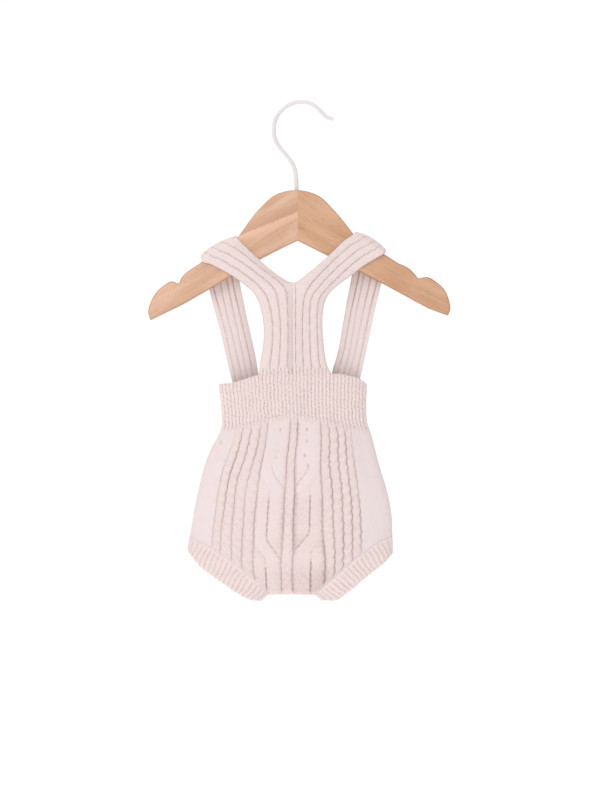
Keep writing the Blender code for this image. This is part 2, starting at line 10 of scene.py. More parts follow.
import bmesh
import bpy
import numpy as np
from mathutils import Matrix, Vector


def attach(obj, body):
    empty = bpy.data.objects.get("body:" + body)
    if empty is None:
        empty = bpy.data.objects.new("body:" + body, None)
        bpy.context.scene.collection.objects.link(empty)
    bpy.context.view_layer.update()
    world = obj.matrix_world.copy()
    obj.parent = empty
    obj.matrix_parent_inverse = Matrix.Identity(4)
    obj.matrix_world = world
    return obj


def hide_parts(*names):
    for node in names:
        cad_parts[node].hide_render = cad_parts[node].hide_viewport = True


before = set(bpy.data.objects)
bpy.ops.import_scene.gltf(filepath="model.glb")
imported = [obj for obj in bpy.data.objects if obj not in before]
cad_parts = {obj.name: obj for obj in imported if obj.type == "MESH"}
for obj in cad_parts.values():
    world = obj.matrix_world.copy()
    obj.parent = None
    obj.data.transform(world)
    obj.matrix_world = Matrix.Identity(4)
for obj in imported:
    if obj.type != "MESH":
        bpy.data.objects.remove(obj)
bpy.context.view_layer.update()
MM = 0.001

# %% [markdown]
# ## Smooth lines through a few measured places
# A knitter's schematic gives a handful of widths at a handful of heights. A cubic through
# every row, with each slope taken from the neighbours, fills in the rest, so a few numbers
# are enough for a whole outline.


# %% Curves through tables
def smooth_through(table, at):
    """Values of a table's later columns at the given places in its first column."""
    rows = np.array(table, float)
    place, values = rows[:, 0], rows[:, 1:]
    slope = np.gradient(values, place, axis=0)
    at = np.asarray(at, float)
    k = np.clip(np.searchsorted(place, at) - 1, 0, len(place) - 2)
    step = place[k + 1] - place[k]
    t = ((at - place[k]) / step)[..., None]
    step = step[..., None]
    near = (2 * t**3 - 3 * t**2 + 1) * values[k] + (t**3 - 2 * t**2 + t) * step * slope[k]
    far = (3 * t**2 - 2 * t**3) * values[k + 1] + (t**3 - t**2) * step * slope[k + 1]
    found = near + far
    return found[..., 0] if found.shape[-1] == 1 else found


def run_along(line):
    """Lengths from the start of a line of points to each of them."""
    steps = np.linalg.norm(np.diff(line, axis=0), axis=1)
    return np.concatenate([[0], np.cumsum(steps)])


def smooth_run(points, steps):
    """Evenly spaced points of a smooth curve through a few given ones."""
    along = run_along(points)
    return smooth_through(np.column_stack([along, points]), np.linspace(0, along[-1], steps + 1))


def evenly(places, line, steps):
    """The places, out of those that belong to a line's points, that are evenly far apart."""
    run = run_along(line)
    return np.interp(np.linspace(0, run[-1], steps + 1), run, places)


def pick(columns, k):
    """The k-th column's value for each place."""
    return np.take_along_axis(columns, k[..., None], -1)[..., 0]


print("half of a smooth curve:", smooth_through(((0, 0), (1, 2), (2, 3)), 0.5))


# %% Steps, waves and unevenness
def ease(t):
    """0 below 0, 1 above 1, and a smooth step between."""
    t = np.clip(t, 0.0, 1.0)
    return t * t * (3 - 2 * t)


def wave(turns, start=0.0):
    """A wave from 0 to 1 with its first top at 0 turns, or a little before."""
    return 0.5 + 0.5 * np.cos(2 * math.pi * turns + start)


def bell(away):
    """A round bump, 1 at 0 and next to nothing past 2."""
    return np.exp(-(away**2))


def blend(first, second, share):
    """The first where the share is 0, the second where it is 1."""
    return first + (second - first) * share


def unit(vectors):
    return vectors / np.linalg.norm(vectors, axis=-1, keepdims=True)


def rounded_edge(distance, radius):
    """Share of the cloth's thickness that is left near a rounded edge."""
    return np.sqrt(1 - (1 - np.clip(distance / radius, 0, 1)) ** 2)


def uneven(a, b, seed):
    """A gentle, repeatable unevenness from -1 to 1, for cloth that isn't quite even."""
    draw = np.random.default_rng(seed)
    found = 0
    for size in (1.0, 1.7, 2.9):
        turn_a, turn_b, start = draw.uniform(0.6, 1.4), draw.uniform(-1, 1), draw.uniform(0, 6.3)
        found = found + np.sin(size * (turn_a * a + turn_b * b) + start) / size
    return found / 1.9


print("a quarter of the way up a smooth step:", ease(0.25))

# %% [markdown]
# ## The shape inside the shorts
# Shorts that hang from straps are a flat tube. At each height the inside is a ring with a
# left edge, a right edge and a small depth, and the ring closes towards the crotch.
# "across" runs from -1 at the left side seam to 1 at the right one.

# %% The body's rings
SEAM = 0.3  # gap between the front and the back at their side seams
STITCHED = 0.05  # gap between two pieces that are knitted together
KNIT = 1.7  # thickness of the cloth under its ribs
RINGS = (  # height, left edge, right edge, half of the depth
    (-262, -79.5, 65, 8), (-281, -79, 64.6, 8.5), (-298, -77, 63.8, 9), (-314, -75.8, 64.4, 9.6),
    (-322, -75.8, 65.8, 10.2), (-330, -78.4, 68.4, 11.2), (-346, -86.7, 72.6, 13),
    (-362, -92.8, 76.8, 14.3), (-378, -97.2, 81.8, 15.3), (-394, -100.8, 86.2, 16),
    (-410, -103.9, 88.9, 16.4), (-426, -106.4, 89.7, 16.5), (-442, -109.2, 89.9, 16.5),
    (-460, -109.6, 89.9, 16.5), (-500, -109.6, 89.9, 16.5),
)
FULLNESS = 2.4  # above 2, the ring is flatter than an ellipse
CROTCH = -487.5
CROTCH_TURN = -420.0  # from here down the cloth turns in towards the crotch


def ring_at(height):
    """Middle, half width and half depth of the body's inside at some heights."""
    table = [(-z, left, right, depth) for z, left, right, depth in RINGS]
    found = smooth_through(table, -np.asarray(height, float))
    left, right, depth = found[..., 0], found[..., 1], found[..., 2]
    turn = np.clip((CROTCH_TURN - height) / (CROTCH_TURN - CROTCH), 0.0, 1.0)
    return (left + right) / 2, (right - left) / 2, depth * np.sqrt(1 - turn**2)


def fullness(across):
    """Share of a ring's depth that is left at a place across it."""
    return np.sqrt(np.maximum(1 - np.abs(across) ** FULLNESS, 0.0))


def body_point(across, turn_sign, height, side):
    """A point of the cloth's inside. side is -1 for the front and 1 for the back."""
    middle, half_width, half_depth = ring_at(height)
    y = side * (SEAM / 2 + turn_sign * half_depth * fullness(across))
    return np.stack([middle + half_width * across, y, height + 0 * across], axis=-1)


print("middle, half width and half depth at the hips:", ring_at(-420.0))

# %% [markdown]
# ## Where the pieces meet
# The waistband, the front, the back and the two leg bands are knitted apart and joined.
# Each seam is a line of heights over the width of the shorts.

# %% Seam lines
WAIST_TOP_FRONT = (  # across, height
    (-1, -279.8), (-0.85, -278.8), (-0.68, -275.5), (-0.51, -271.6), (-0.4, -270.4), (0, -270.6),
    (0.47, -270.2), (0.64, -270), (0.81, -272.2), (0.94, -275.3), (1, -279),
)
WAIST_TOP_BACK = (
    (-1, -279.8), (-0.65, -283), (0, -288), (0.6, -282), (1, -279),
)
WAIST_SEAM_FRONT = (
    (-1, -324), (-0.83, -322), (-0.65, -319.4), (-0.39, -314.2), (-0.2, -311.8), (0.1, -311.2),
    (0.38, -314), (0.58, -318.2), (0.8, -322.4), (1, -324),
)
WAIST_SEAM_BACK = (
    (-1, -324), (-0.5, -327.5), (0, -329), (0.5, -327.5), (1, -324),
)
CROTCH_LEFT, CROTCH_RIGHT = -0.215, 0.25
LEG_SEAM = (
    (-1, -433), (-0.84, -440.5), (-0.68, -450), (-0.54, -459.5), (-0.4, -471),
    (-0.3, -480.5), (CROTCH_LEFT, CROTCH), (0, CROTCH), (CROTCH_RIGHT, CROTCH),
    (0.33, -481.5), (0.44, -472), (0.57, -460.3), (0.73, -447.8), (0.87, -438.5),
    (1, -432),
)


def panel_heights(top, bottom, across, down):
    """Heights of a panel's rows, where down runs from 0 at its top edge to 1."""
    high, low = smooth_through(top, across), smooth_through(bottom, across)
    low = np.maximum(low, CROTCH) + STITCHED * ease(low - CROTCH)
    return blend(high, low, down)


def body_surface(top, bottom, side, top_gap=0.0, bottom_gap=0.0):
    """The function that gives a body panel's inside from (turn, down)."""
    top = [(across, height + top_gap) for across, height in top]
    bottom = [(across, height + bottom_gap) for across, height in bottom]

    def surface(turn, down):
        across = -np.cos(turn)
        height = panel_heights(top, bottom, across, down)
        return body_point(across, np.sign(np.sin(turn)), height, side)

    return surface


def surface_normals(surface, u, v, outward, level_ends=False):
    """Unit normals of a surface function over a grid, turned the way outward says."""
    small = 1e-3
    along_u = surface(u + small, v) - surface(u - small, v)
    along_v = surface(u, np.minimum(v + small, 1.0)) - surface(u, np.maximum(v - small, 0.0))
    normal = np.cross(along_u, along_v) * outward
    if level_ends:
        normal[[0, -1], :, 2] = 0.0
    return unit(normal)


print("the front's waist seam rises", WAIST_SEAM_FRONT[5][1] - WAIST_SEAM_FRONT[0][1], "mm")

# %% [markdown]
# ## A wall of knitted cloth
# Cloth is modelled with its true thickness. Two grids are made, one for the face and one
# for the inside, each point is moved to its place, and the open edges are bridged. The
# face holds the ribs and ropes, so its grid is fine, while the inside can be coarser. The
# UV map counts stitches: one unit across is one stitch and one unit down is one row, so
# that a single stitch pattern fits every piece, however wide it was knitted.

# %% Grids of points
STITCH = 2.1  # width of a stitch
COURSE = 1.5  # height of a row of stitches


def lay_grid(bm, points, raised, closed):
    """Adds a grid, moves its vertices onto the points and returns its boundary edges."""
    rows, columns = points.shape[:2]
    made = bmesh.ops.create_grid(
        bm, x_segments=columns - 1, y_segments=rows - 1, size=0.5, calc_uvs=True)["verts"]
    at = np.array([vert.co[:2] for vert in made]) + 0.5
    column = np.rint(at[:, 0] * (columns - 1)).astype(int)
    row = np.rint(at[:, 1] * (rows - 1)).astype(int)
    mark = bm.verts.layers.float["raised"]
    for vert, place, share in zip(made, points[row, column] * MM, raised[row, column]):
        vert.co = place
        vert[mark] = share
    if closed:
        bmesh.ops.remove_doubles(bm, verts=made, dist=1e-7)
        made = [vert for vert in made if vert.is_valid]
    return list({edge for vert in made for edge in vert.link_edges if edge.is_boundary})


def stitch_map(mesh, first, last, points, stitches):
    """Turns the UV map of the faces of one grid from shares of it into stitches and rows."""
    across = run_along(points[points.shape[0] // 2])
    across = across / across[-1] * (stitches or across[-1] / STITCH)
    down = run_along(points[:, points.shape[1] // 2]) / COURSE
    layer = mesh.uv_layers["stitches"]
    uv = np.zeros(len(layer.data) * 2)
    layer.data.foreach_get("uv", uv)
    part = uv.reshape(-1, 2)[first * 4:last * 4]
    for axis, counts in ((0, across), (1, down)):
        part[:, axis] = np.interp(part[:, axis] * (len(counts) - 1), np.arange(len(counts)), counts)
    layer.data.foreach_set("uv", uv)


def split_ring(edges):
    """The edges of a ring's two ends, the lower end first."""
    rest = set(edges)
    ends = []
    while rest:
        grown = [rest.pop()]
        for edge in grown:
            near = {one for vert in edge.verts for one in vert.link_edges if one in rest}
            rest -= near
            grown.extend(near)
        ends.append(grown)
    return sorted(ends, key=lambda end: sum(edge.verts[0].co.z for edge in end) / len(end))


print("one stitch is", STITCH, "mm wide and", COURSE, "mm high")


# %% A wall between two grids
def piece_from(bm, name, material):
    """An object in the scene with a finished bmesh and one material."""
    mesh = bpy.data.meshes.new(name)
    bm.to_mesh(mesh)
    bm.free()
    mesh.materials.append(material)
    piece = bpy.data.objects.new(name, mesh)
    bpy.context.scene.collection.objects.link(piece)
    return piece


def cloth_wall(name, node, face, inside, material, raised, behind=0.8, stitches=None, closed=False):
    """A closed wall between two grids of points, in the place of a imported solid.

    raised and behind say how raised each point of the face and of the inside is, and
    stitches overrides the count of stitches across.
    """
    bm = bmesh.new()
    bm.loops.layers.uv.new("stitches")
    bm.verts.layers.float.new("raised")
    outer = lay_grid(bm, face, raised, closed)
    face_count = len(bm.faces)
    inner = lay_grid(bm, inside, behind + np.zeros(inside.shape[:2]), closed)
    inside_count = len(bm.faces)
    pairs = zip(split_ring(outer), split_ring(inner)) if closed else [(outer, inner)]
    for outer_end, inner_end in pairs:
        bmesh.ops.bridge_loops(bm, edges=outer_end + inner_end)
    bmesh.ops.recalc_face_normals(bm, faces=bm.faces)
    if bm.calc_volume(signed=True) < 0:
        bmesh.ops.reverse_faces(bm, faces=bm.faces)
    for one in bm.faces:
        one.smooth = True
    for edge in outer + inner:
        if edge.is_valid:
            edge.smooth = False
    piece = piece_from(bm, name, material)
    stitch_map(piece.data, 0, face_count, face, stitches)
    stitch_map(piece.data, face_count, inside_count, inside, stitches)
    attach(piece, "root")
    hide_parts(node)
    count = len(piece.data.polygons)
    print(name, count, "faces,", count - inside_count, "on its edges")
    return piece


# %% [markdown]
# ## The knitted cotton
# The yarn is a soft cotton in a pale dusty pink. Seen close, stocking stitch is rows of
# small V shapes: two legs that lean towards each other. Both legs are made with plain
# arithmetic on the stitch map. Each leg is a round hump across, and the rows lean with the
# distance from the middle of the V. Fine noise adds the fibres, sheen adds the fuzz that
# catches light at the edges, and an attribute from the modelling tells the shader how deep
# in a groove a place is, where painted shade turns the yarn a little darker and warmer.


# %% Node helpers
def add_node(tree, kind, settings=(), **inputs):
    """A new node. Each input is linked when it is given a socket, and else filled in."""
    node = tree.nodes.new("ShaderNode" + kind)
    for name, value in dict(settings).items():
        setattr(node, name, value)
    for name, value in inputs.items():
        socket = node.inputs[name.replace("_", " ")]
        if isinstance(value, bpy.types.NodeSocket):
            tree.links.new(value, socket)
        else:
            socket.default_value = value
    return node


def new_material(name, **looks):
    """A material with its shader's looks filled in, and its node tree and shader."""
    material = bpy.data.materials.new(name)
    material.use_nodes = True
    tree = material.node_tree
    shader = tree.nodes["Principled BSDF"]
    for look, value in looks.items():
        shader.inputs[look.replace("_", " ")].default_value = value
    return material, tree, shader


def finish_shader(tree, shader, colour, height, strength, distance):
    """Gives a shader its colour and a small relief, whose distance is in millimetres."""
    bump = add_node(tree, "Bump", Strength=strength, Distance=distance * MM, Height=height)
    tree.links.new(bump.outputs["Normal"], shader.inputs["Normal"])
    tree.links.new(colour, shader.inputs["Base Color"])


def maths(tree, operation, *values):
    """A Math node on sockets or numbers, and its result."""
    node = add_node(tree, "Math", {"operation": operation})
    for socket, value in zip(node.inputs, values):
        if isinstance(value, bpy.types.NodeSocket):
            tree.links.new(value, socket)
        else:
            socket.default_value = value
    return node.outputs[0]


def noise(tree, vector, scale, detail=2.0, rough=0.5):
    """A noise pattern between 0 and 1."""
    return add_node(
        tree, "TexNoise", Vector=vector, Scale=scale, Detail=detail,
        Roughness=rough).outputs["Fac"]


def between(tree, value, low, high, first, second, kind="SMOOTHSTEP"):
    """Runs from first to second while the value goes from low to high."""
    return add_node(
        tree, "MapRange", {"interpolation_type": kind}, Value=value, From_Min=low,
        From_Max=high, To_Min=first, To_Max=second).outputs["Result"]


def colour_between(tree, share, first, second):
    """A mix of two colours by a share."""
    first, second = (
        end if isinstance(end, bpy.types.NodeSocket) else (*end, 1.0) for end in (first, second))
    mix = add_node(tree, "Mix", {"data_type": "RGBA"}, Factor=share, A=first, B=second)
    return mix.outputs["Result"]


def linear(red, green, blue):
    """A screen colour from 0 to 255 as the linear numbers that a shader wants."""
    return tuple(
        c / 12.92 if c <= 0.04045 else ((c + 0.055) / 1.055) ** 2.4
        for c in (red / 255, green / 255, blue / 255))


def tinted(colour, *shares):
    """A colour with its red, green and blue each taken by a share."""
    return tuple(min(c * share, 1.0) for c, share in zip(colour, shares))


print("pale pink in linear light:", [round(c, 3) for c in linear(236, 219, 216)])


# %% The stitch pattern and the yarn
FACE = linear(239, 223, 221)
COOL = linear(239, 225, 227)
WARM = tinted(FACE, 1.01, 0.965, 0.93)
# the colour of the painted shade in the knit's grooves
GROOVE_SHADE = linear(192, 165, 161)
STITCH_LEAN = 0.62  # how far the legs of a stitch lean, in rows


def knit_material(name, relief):
    """Knitted cotton. relief is the height of its stitches in millimetres.

    The attribute "raised" is 0 in a groove and 1 on a ridge, and the lower it is, the more
    painted shade darkens the yarn's colour. Above 1 it marks flat stocking stitch, which
    looks a little cooler.
    """
    material, tree, shader = new_material(
        name, Roughness=0.92, Specular_IOR_Level=0.18, Sheen_Weight=0.1, Sheen_Roughness=0.6)
    uv = add_node(tree, "UVMap", {"uv_map": "stitches"}).outputs["UV"]
    split = add_node(tree, "SeparateXYZ", Vector=uv)
    column = maths(tree, "FRACT", split.outputs["X"])
    out = maths(tree, "ABSOLUTE", maths(tree, "MULTIPLY_ADD", column, 2.0, -1.0))
    leg = maths(tree, "SINE", maths(tree, "MULTIPLY", out, math.pi))
    row = maths(tree, "MULTIPLY_ADD", out, STITCH_LEAN, split.outputs["Y"])
    bead = maths(tree, "ABSOLUTE", maths(tree, "SINE", maths(tree, "MULTIPLY", row, math.pi)))
    bead = maths(tree, "POWER", bead, 0.6)
    stitch = maths(tree, "MULTIPLY", maths(tree, "POWER", leg, 0.7), bead)

    place = add_node(tree, "TexCoord").outputs["Object"]
    fibres = noise(tree, place, 2600.0, 3.0, 0.7)
    height = maths(tree, "MULTIPLY_ADD", fibres, 0.35, stitch)
    raised = add_node(tree, "Attribute", {"attribute_name": "raised"}).outputs["Fac"]
    flecks = noise(tree, place, 620.0, 2.0, 0.6)
    # painted shade: where "raised" is low, in the grooves, the colour goes towards the darker groove
    # colour
    light = maths(tree, "MULTIPLY_ADD", stitch, 0.3, raised)
    light = maths(tree, "MULTIPLY_ADD", flecks, 0.9, maths(tree, "ADD", light, -0.55))
    light = add_node(tree, "Clamp", Value=light).outputs[0]
    flat = between(tree, raised, 1.0, 1.5, 0.0, 1.0, "LINEAR")
    base = colour_between(tree, light, GROOVE_SHADE, colour_between(tree, flat, FACE, COOL))
    drift = between(tree, noise(tree, place, 70.0, 4.0, 0.65), 0.4, 0.7, 0.0, 0.55, "LINEAR")
    yarn = colour_between(tree, maths(tree, "MULTIPLY", drift, light), base, WARM)
    finish_shader(tree, shader, yarn, height, 1.0, relief)
    return material


pink_knit = knit_material("pink_knit", 0.2)
pink_rib = knit_material("pink_rib", 0.24)
print("yarn:", [round(c, 3) for c in FACE], "in its grooves", [round(c, 3) for c in GROOVE_SHADE])

# %% [markdown]
# ## Ribbing
# One knit stitch and one purl stitch make a narrow rib that stretches. Forty ribs go over
# each half of the waistband. Every few millimetres an elastic yarn draws the rib in and
# pinches its grooves shut for a row. The same function also gives the first rows of the
# pieces that join the waistband, because their stitches grow out of its ribs.

# %% Ribs of the waistband
RIB = 1.1  # height of a rib
WAIST_RIBS = 40  # over each half of the band
DRAWN_ROWS = 8.0  # height from one drawn-in row to the next
DRAWN_START = 280.0  # where their pattern starts
DRAWN_FROM, DRAWN_TO = -314.0, -268.0  # heights between which rows are drawn in
PIT_EVERY = 4.7  # height from one pit of a groove to the next
BEADS_EVERY = 1.3  # rows from one round stitch to the next
DEPTH_TO_WIDTH = 0.14
FINE = 4000  # steps in which a curve is measured
COLUMNS = 8  # columns of the grid for each rib
FRONT_RIBS, BACK_RIBS = 21, 31  # seeds of their unevenness


def ridge(u, square=3.0):
    """A round ridge over -1 to 1, 0 at both ends and 1 in the middle."""
    return np.maximum(1 - np.abs(u) ** square, 0.0) ** 0.55


def even_turns(count):
    """Turns that are evenly spaced along the cloth of a flat ring, seam to seam."""
    turn = np.linspace(0, math.pi, FINE)
    x = -np.cos(turn)
    return evenly(turn, np.column_stack([x, DEPTH_TO_WIDTH * fullness(x)]), count)


def waist_ribbing(turn, height, seed):
    """Height of the waistband's ribs over the plain cloth, and how raised they look."""
    turns = even_turns(WAIST_RIBS * COLUMNS)
    phase = np.interp(turn, turns, np.arange(len(turns)) / COLUMNS)
    bend = 0.13 * uneven(height * 0.35, phase * 0.9, seed) * ease(np.sin(turn) / 0.2)
    ribs = ridge(2 * ((phase + bend) % 1.0) - 1, 2.2)
    rows = wave((height - DRAWN_START) / DRAWN_ROWS) ** 5
    rows = rows * ease((height - DRAWN_FROM) / 4) * ease((DRAWN_TO - height) / 4)
    strength = 0.5 + 0.5 * uneven(phase * 1.3, height * 0.3, seed + 5)
    ribs = blend(ribs, 0.75, rows * (0.35 + 0.45 * strength))
    beads = wave(height / COURSE / BEADS_EVERY)
    relief = RIB * ribs * (0.9 + 0.1 * beads) + 0.12 * beads - 0.06 * rows
    relief = relief + 0.3 * uneven(phase * 0.4, height * 0.12, seed + 1)
    groove = np.floor(phase + bend + 0.5)
    # painted shade in the grooves: darker at each pit, lighter where a groove is pinched shut, and a
    # little darker on the drawn rows
    pits = wave(height / PIT_EVERY, 2.4 * groove + 3 * strength - math.pi / 2)
    closed = 0.3 * (1 - pits) * (1 - 0.5 * strength) - 0.3 * pits * strength
    return relief, 1.02 * ribs**0.85 - 0.08 + closed * (1 - ribs) ** 0.7 - 0.06 * rows


def turn_over(x, height):
    """The turn round the body, from 0 to pi, of a place over its width."""
    middle, half_width, _ = ring_at(height)
    return np.arccos(-np.clip((x - middle) / half_width, -1, 1))


print("ribs round the waist:", 2 * WAIST_RIBS)

# %% [markdown]
# ## The cabled front
# Eight narrow ropes, two wide cables and a middle rope run down the front, parted by dark
# narrow grooves. They lie close under the waistband and spread as the shorts widen. Twelve
# groove lines were measured at sixteen heights. The columns of the grid follow them, so
# that each groove stays crisp although the grid is only as fine as needed.

# %% The groove lines
GROOVE_LINES = (  # height, then the place of each of the twelve lines
    (300, -55.5, -50.5, -44, -36, -29.5, -9, -2.4, 19, 25.5, 32.5, 39.5, 46),
    (316, -62, -55, -48, -38.6, -31.2, -9.3, -2.4, 20.2, 27.2, 35, 42.3, 49),
    (326, -63.6, -56.4, -48.2, -39.4, -32.1, -9.6, -2.4, 20.8, 28.6, 36.9, 44.2, 50.2),
    (336, -65.6, -58.5, -50, -40.8, -33.3, -10.5, -2.9, 21.1, 29.4, 37.8, 45.1, 51),
    (346, -68.9, -61.2, -52.4, -42.8, -35, -11.6, -3.9, 20.9, 29.2, 37.8, 45.6, 52.1),
    (356, -72.9, -64.3, -55.1, -45.7, -37.2, -12.9, -5, 20.5, 28.8, 38.1, 46.2, 53.4),
    (366, -76.2, -67.9, -58.9, -48.5, -39.2, -13.2, -5.4, 20.5, 29.6, 39, 47.3, 54.6),
    (376, -78.5, -70.3, -61.9, -51.3, -40.7, -13.7, -5.2, 21.3, 31, 40.3, 48.4, 56.2),
    (391, -81.4, -73.1, -64.1, -54, -42.4, -14.9, -5.4, 22.2, 32.1, 41.7, 50.3, 57.9),
    (406, -83.4, -75, -65.4, -55, -44.3, -15.6, -6.4, 22.6, 32.6, 42.3, 51.2, 59.2),
    (421, -85.1, -77.2, -66.9, -55.9, -45.5, -16.2, -6.9, 22.6, 33.1, 43, 51.8, 59.9),
    (433, -86.5, -78.1, -67.5, -57, -45.9, -16.8, -6.9, 23.3, 33.9, 43.1, 51.9, 60.2),
    (446, -87.5, -78.9, -67.7, -57.3, -46.4, -17.8, -7, 24.6, 34.6, 43, 51.8, 60.4),
    (458, -88, -79.5, -68.1, -57.8, -46.5, -18.6, -7.7, 25.4, 34.4, 42.7, 51.7, 60.4),
    (471, -88, -79.7, -68.3, -56.6, -45.5, -18.3, -8, 24.9, 34, 41.6, 50.4, 59.4),
    (490, -87, -79, -68, -56, -45, -18, -6.6, 24.1, 34, 41.5, 50, 59),
)
LINES = len(GROOVE_LINES[0]) - 1
GROOVE_DEPTHS = (  # height, then how deep each of the twelve lines is there, from 0 to 1
    (300.0, 0.3, 0.4, 0.4, 0.4, 0.3, 0.5, 0.5, 0.5, 0.4, 0.4, 0.4, 0.3),
    (322.0, 0.3, 0.5, 0.6, 0.7, 0.5, 0.8, 1.0, 0.8, 0.7, 0.8, 0.7, 0.3),
    (340.0, 0.3, 0.9, 0.8, 0.8, 0.5, 0.9, 0.8, 0.9, 0.9, 0.9, 1.0, 0.4),
    (362.0, 0.7, 1.0, 0.8, 0.7, 0.8, 0.9, 0.8, 0.9, 0.9, 0.9, 0.9, 0.8),
    (384.0, 0.7, 0.9, 0.7, 0.2, 0.5, 0.7, 0.9, 0.8, 1.0, 0.9, 0.9, 0.6),
    (410.0, 0.6, 0.6, 0.6, 0.6, 0.6, 0.8, 0.8, 0.7, 0.8, 0.8, 1.0, 0.9),
    (430.0, 0.6, 0.4, 0.5, 0.6, 0.6, 0.7, 0.8, 0.7, 0.8, 1.0, 0.9, 0.9),
    (450.0, 0.4, 0.3, 0.4, 0.5, 0.4, 0.4, 0.4, 0.9, 0.9, 0.9, 0.8, 0.5),
    (490.0, 0.3, 0.3, 0.3, 0.4, 0.4, 0.4, 0.5, 0.5, 0.5, 0.5, 0.5, 0.4),
)
WAVER = (0.3, 0.34, 0.3, 0.36, 0.25, 0.22, 0.26, 0.3, 0.5, 0.52, 0.48, 0.4)
TWIST = 9.8  # height in which a rope turns once


def groove_places(height):
    """The twelve lines at some heights, with the slight waver of a twisted rope."""
    number = np.arange(LINES)
    turn = height[..., None] * 2 * math.pi / TWIST + 2.1 * number
    turn = turn + 1.1 * uneven(height[..., None] * 0.09, number * 1.7, 9)
    waver = np.array(WAVER) * (np.sin(turn) + 0.35 * np.sin(2.3 * turn + number))
    return smooth_through(GROOVE_LINES, -height) + waver


def pattern_across(q, height):
    """Place over the width for pattern number q: 0 to 11 are the lines, -1 and 12 the seams."""
    middle, half_width, _ = ring_at(height)
    lines = (groove_places(height) - middle[..., None]) / half_width[..., None]
    k = np.clip(np.floor(q).astype(int), 0, LINES - 2)
    across = blend(pick(lines, k), pick(lines, k + 1), q - k)
    first, last = np.arccos(-lines[..., 0]), np.arccos(-lines[..., -1])
    first = first * (1 + np.minimum(q, 0))
    last = blend(last, math.pi, np.maximum(q - (LINES - 1), 0))
    across = np.where(q < 0, -np.cos(first), across)
    return np.where(q > LINES - 1, -np.cos(last), across)


print("ropes, cables and middle rope:", LINES - 1)

# %% [markdown]
# ## Ropes and cables
# A rope is two twisted stitches: a round ridge whose lumps lean to one side. A cable is two
# wide flat strands that swap sides twice on their way down, and the strand from the outer
# side goes over the other one. Above the first crossing the strands lie side by side, and
# only a few dark dips show where they part. Each function gives a height, and how raised
# the yarn looks is worked out from it.

# %% Heights over the front
ROPE = 1.9  # height of a rope over its grooves
PLAIN = 0.8  # height of the plain sides
STRAND = 1.9  # height of a cable's strand
LEFT_CABLE, MIDDLE_ROPE, RIGHT_CABLE = 4, 5, 6  # their pattern numbers
CROSSING = 0.45  # how much higher the strand on top stands
PARTING = 1.5  # depth of the line between two strands
PARTING_WIDTH = 0.055
CROSSING_LENGTH = 28.0
CROSSINGS_LEFT = (-375.5, -444.0)
CROSSINGS_RIGHT = (-373.0, -436.0)
DIPS = (  # x, height, reach across, reach down, depth
    (-19, -326, 1, 2.4, 1.1), (-23, -353.5, 1.1, 2, 0.9), (7, -326, 1, 2.4, 1.2),
    (6.8, -337, 0.9, 1.6, 1.2), (5, -351, 1.2, 1.6, 1.3), (-21, -340, 1, 2.2, 0.5),
    (6.5, -316.5, 0.9, 1.8, 0.9), (-18.5, -315.5, 1, 2, 0.7), (7.6, -361, 1.2, 2, 0.8),
    (-20, -347, 0.9, 1.4, 0.6), (-78.6, -339, 1.8, 3, 0.3),
)


def rope(u, height, hand, start):
    """A twisted rope of two stitches."""
    lean = np.cos(2 * math.pi * (height / TWIST + 0.38 * hand * u) + start)
    lumps = 0.08 * uneven(height * 0.7, start + 2.0 * u, 13)
    return ROPE * ridge(u) * (0.92 + 0.1 * lean + lumps)


def cable(place, height, crossings):
    """Two strands that swap sides. place runs from -1 at the outer side to 1.

    At a crossing the outer strand comes over: its upper edge runs from the middle to the
    inner side, and its lower edge from the outer side to the middle.
    """
    place = place + 0.12 * (1 - place**2)
    found = STRAND * ridge(place, 6.0)
    dashes = 0.5 + 0.5 * wave(height / 5.5, 1.0)

    def part(centre, strength):
        return PARTING * strength * dashes * bell((place - centre) / PARTING_WIDTH)

    for k, z in enumerate(crossings):
        share = np.clip((z + CROSSING_LENGTH / 2 - height) / CROSSING_LENGTH, 0, 1)
        swung = (1 - np.cos(math.pi * share)) / 2
        lift = np.sin(math.pi * share)
        over = ease((place - swung + 1) / 0.3) * ease((swung - place) / 0.3)
        found = found + CROSSING * lift * over - 0.2 * lift * (1 - over)
        found = found - part(swung, 0.55 * (share > 0) * (share < 1))
        found = found - part(swung - 1, 0.3 * ease((share - 0.5) / 0.4) * (share < 1))
        below = z - CROSSING_LENGTH / 2 - height
        end = crossings[1] + CROSSING_LENGTH / 2 if k == 0 else CROTCH
        found = found - part(0.0, ease(below / 6) * (height > end))
    return np.maximum(found, 0.0)


def painted_shade_below(x, height, k):
    """Painted shade that darkens the front towards its lower edge, where it turns under."""
    painted_shade = 0.22 * ease((-452 - height) / 26) * ease((64 - np.abs(x + 8)) / 34)
    cables = (k == LEFT_CABLE) | (k == RIGHT_CABLE)
    painted_shade += np.where(cables, 0.34, 0.04) * ease((-382 - height) / 14)
    painted_shade += np.where(k == RIGHT_CABLE, 0.1, 0.0)
    painted_shade += 0.2 * bell((x - 18) / 16) * ease((-455 - height) / 20)
    return painted_shade + 0.12 * ease((CROTCH + 9 - height) / 9) * ease((CROTCH + 3 - height[-1:]) / 3)


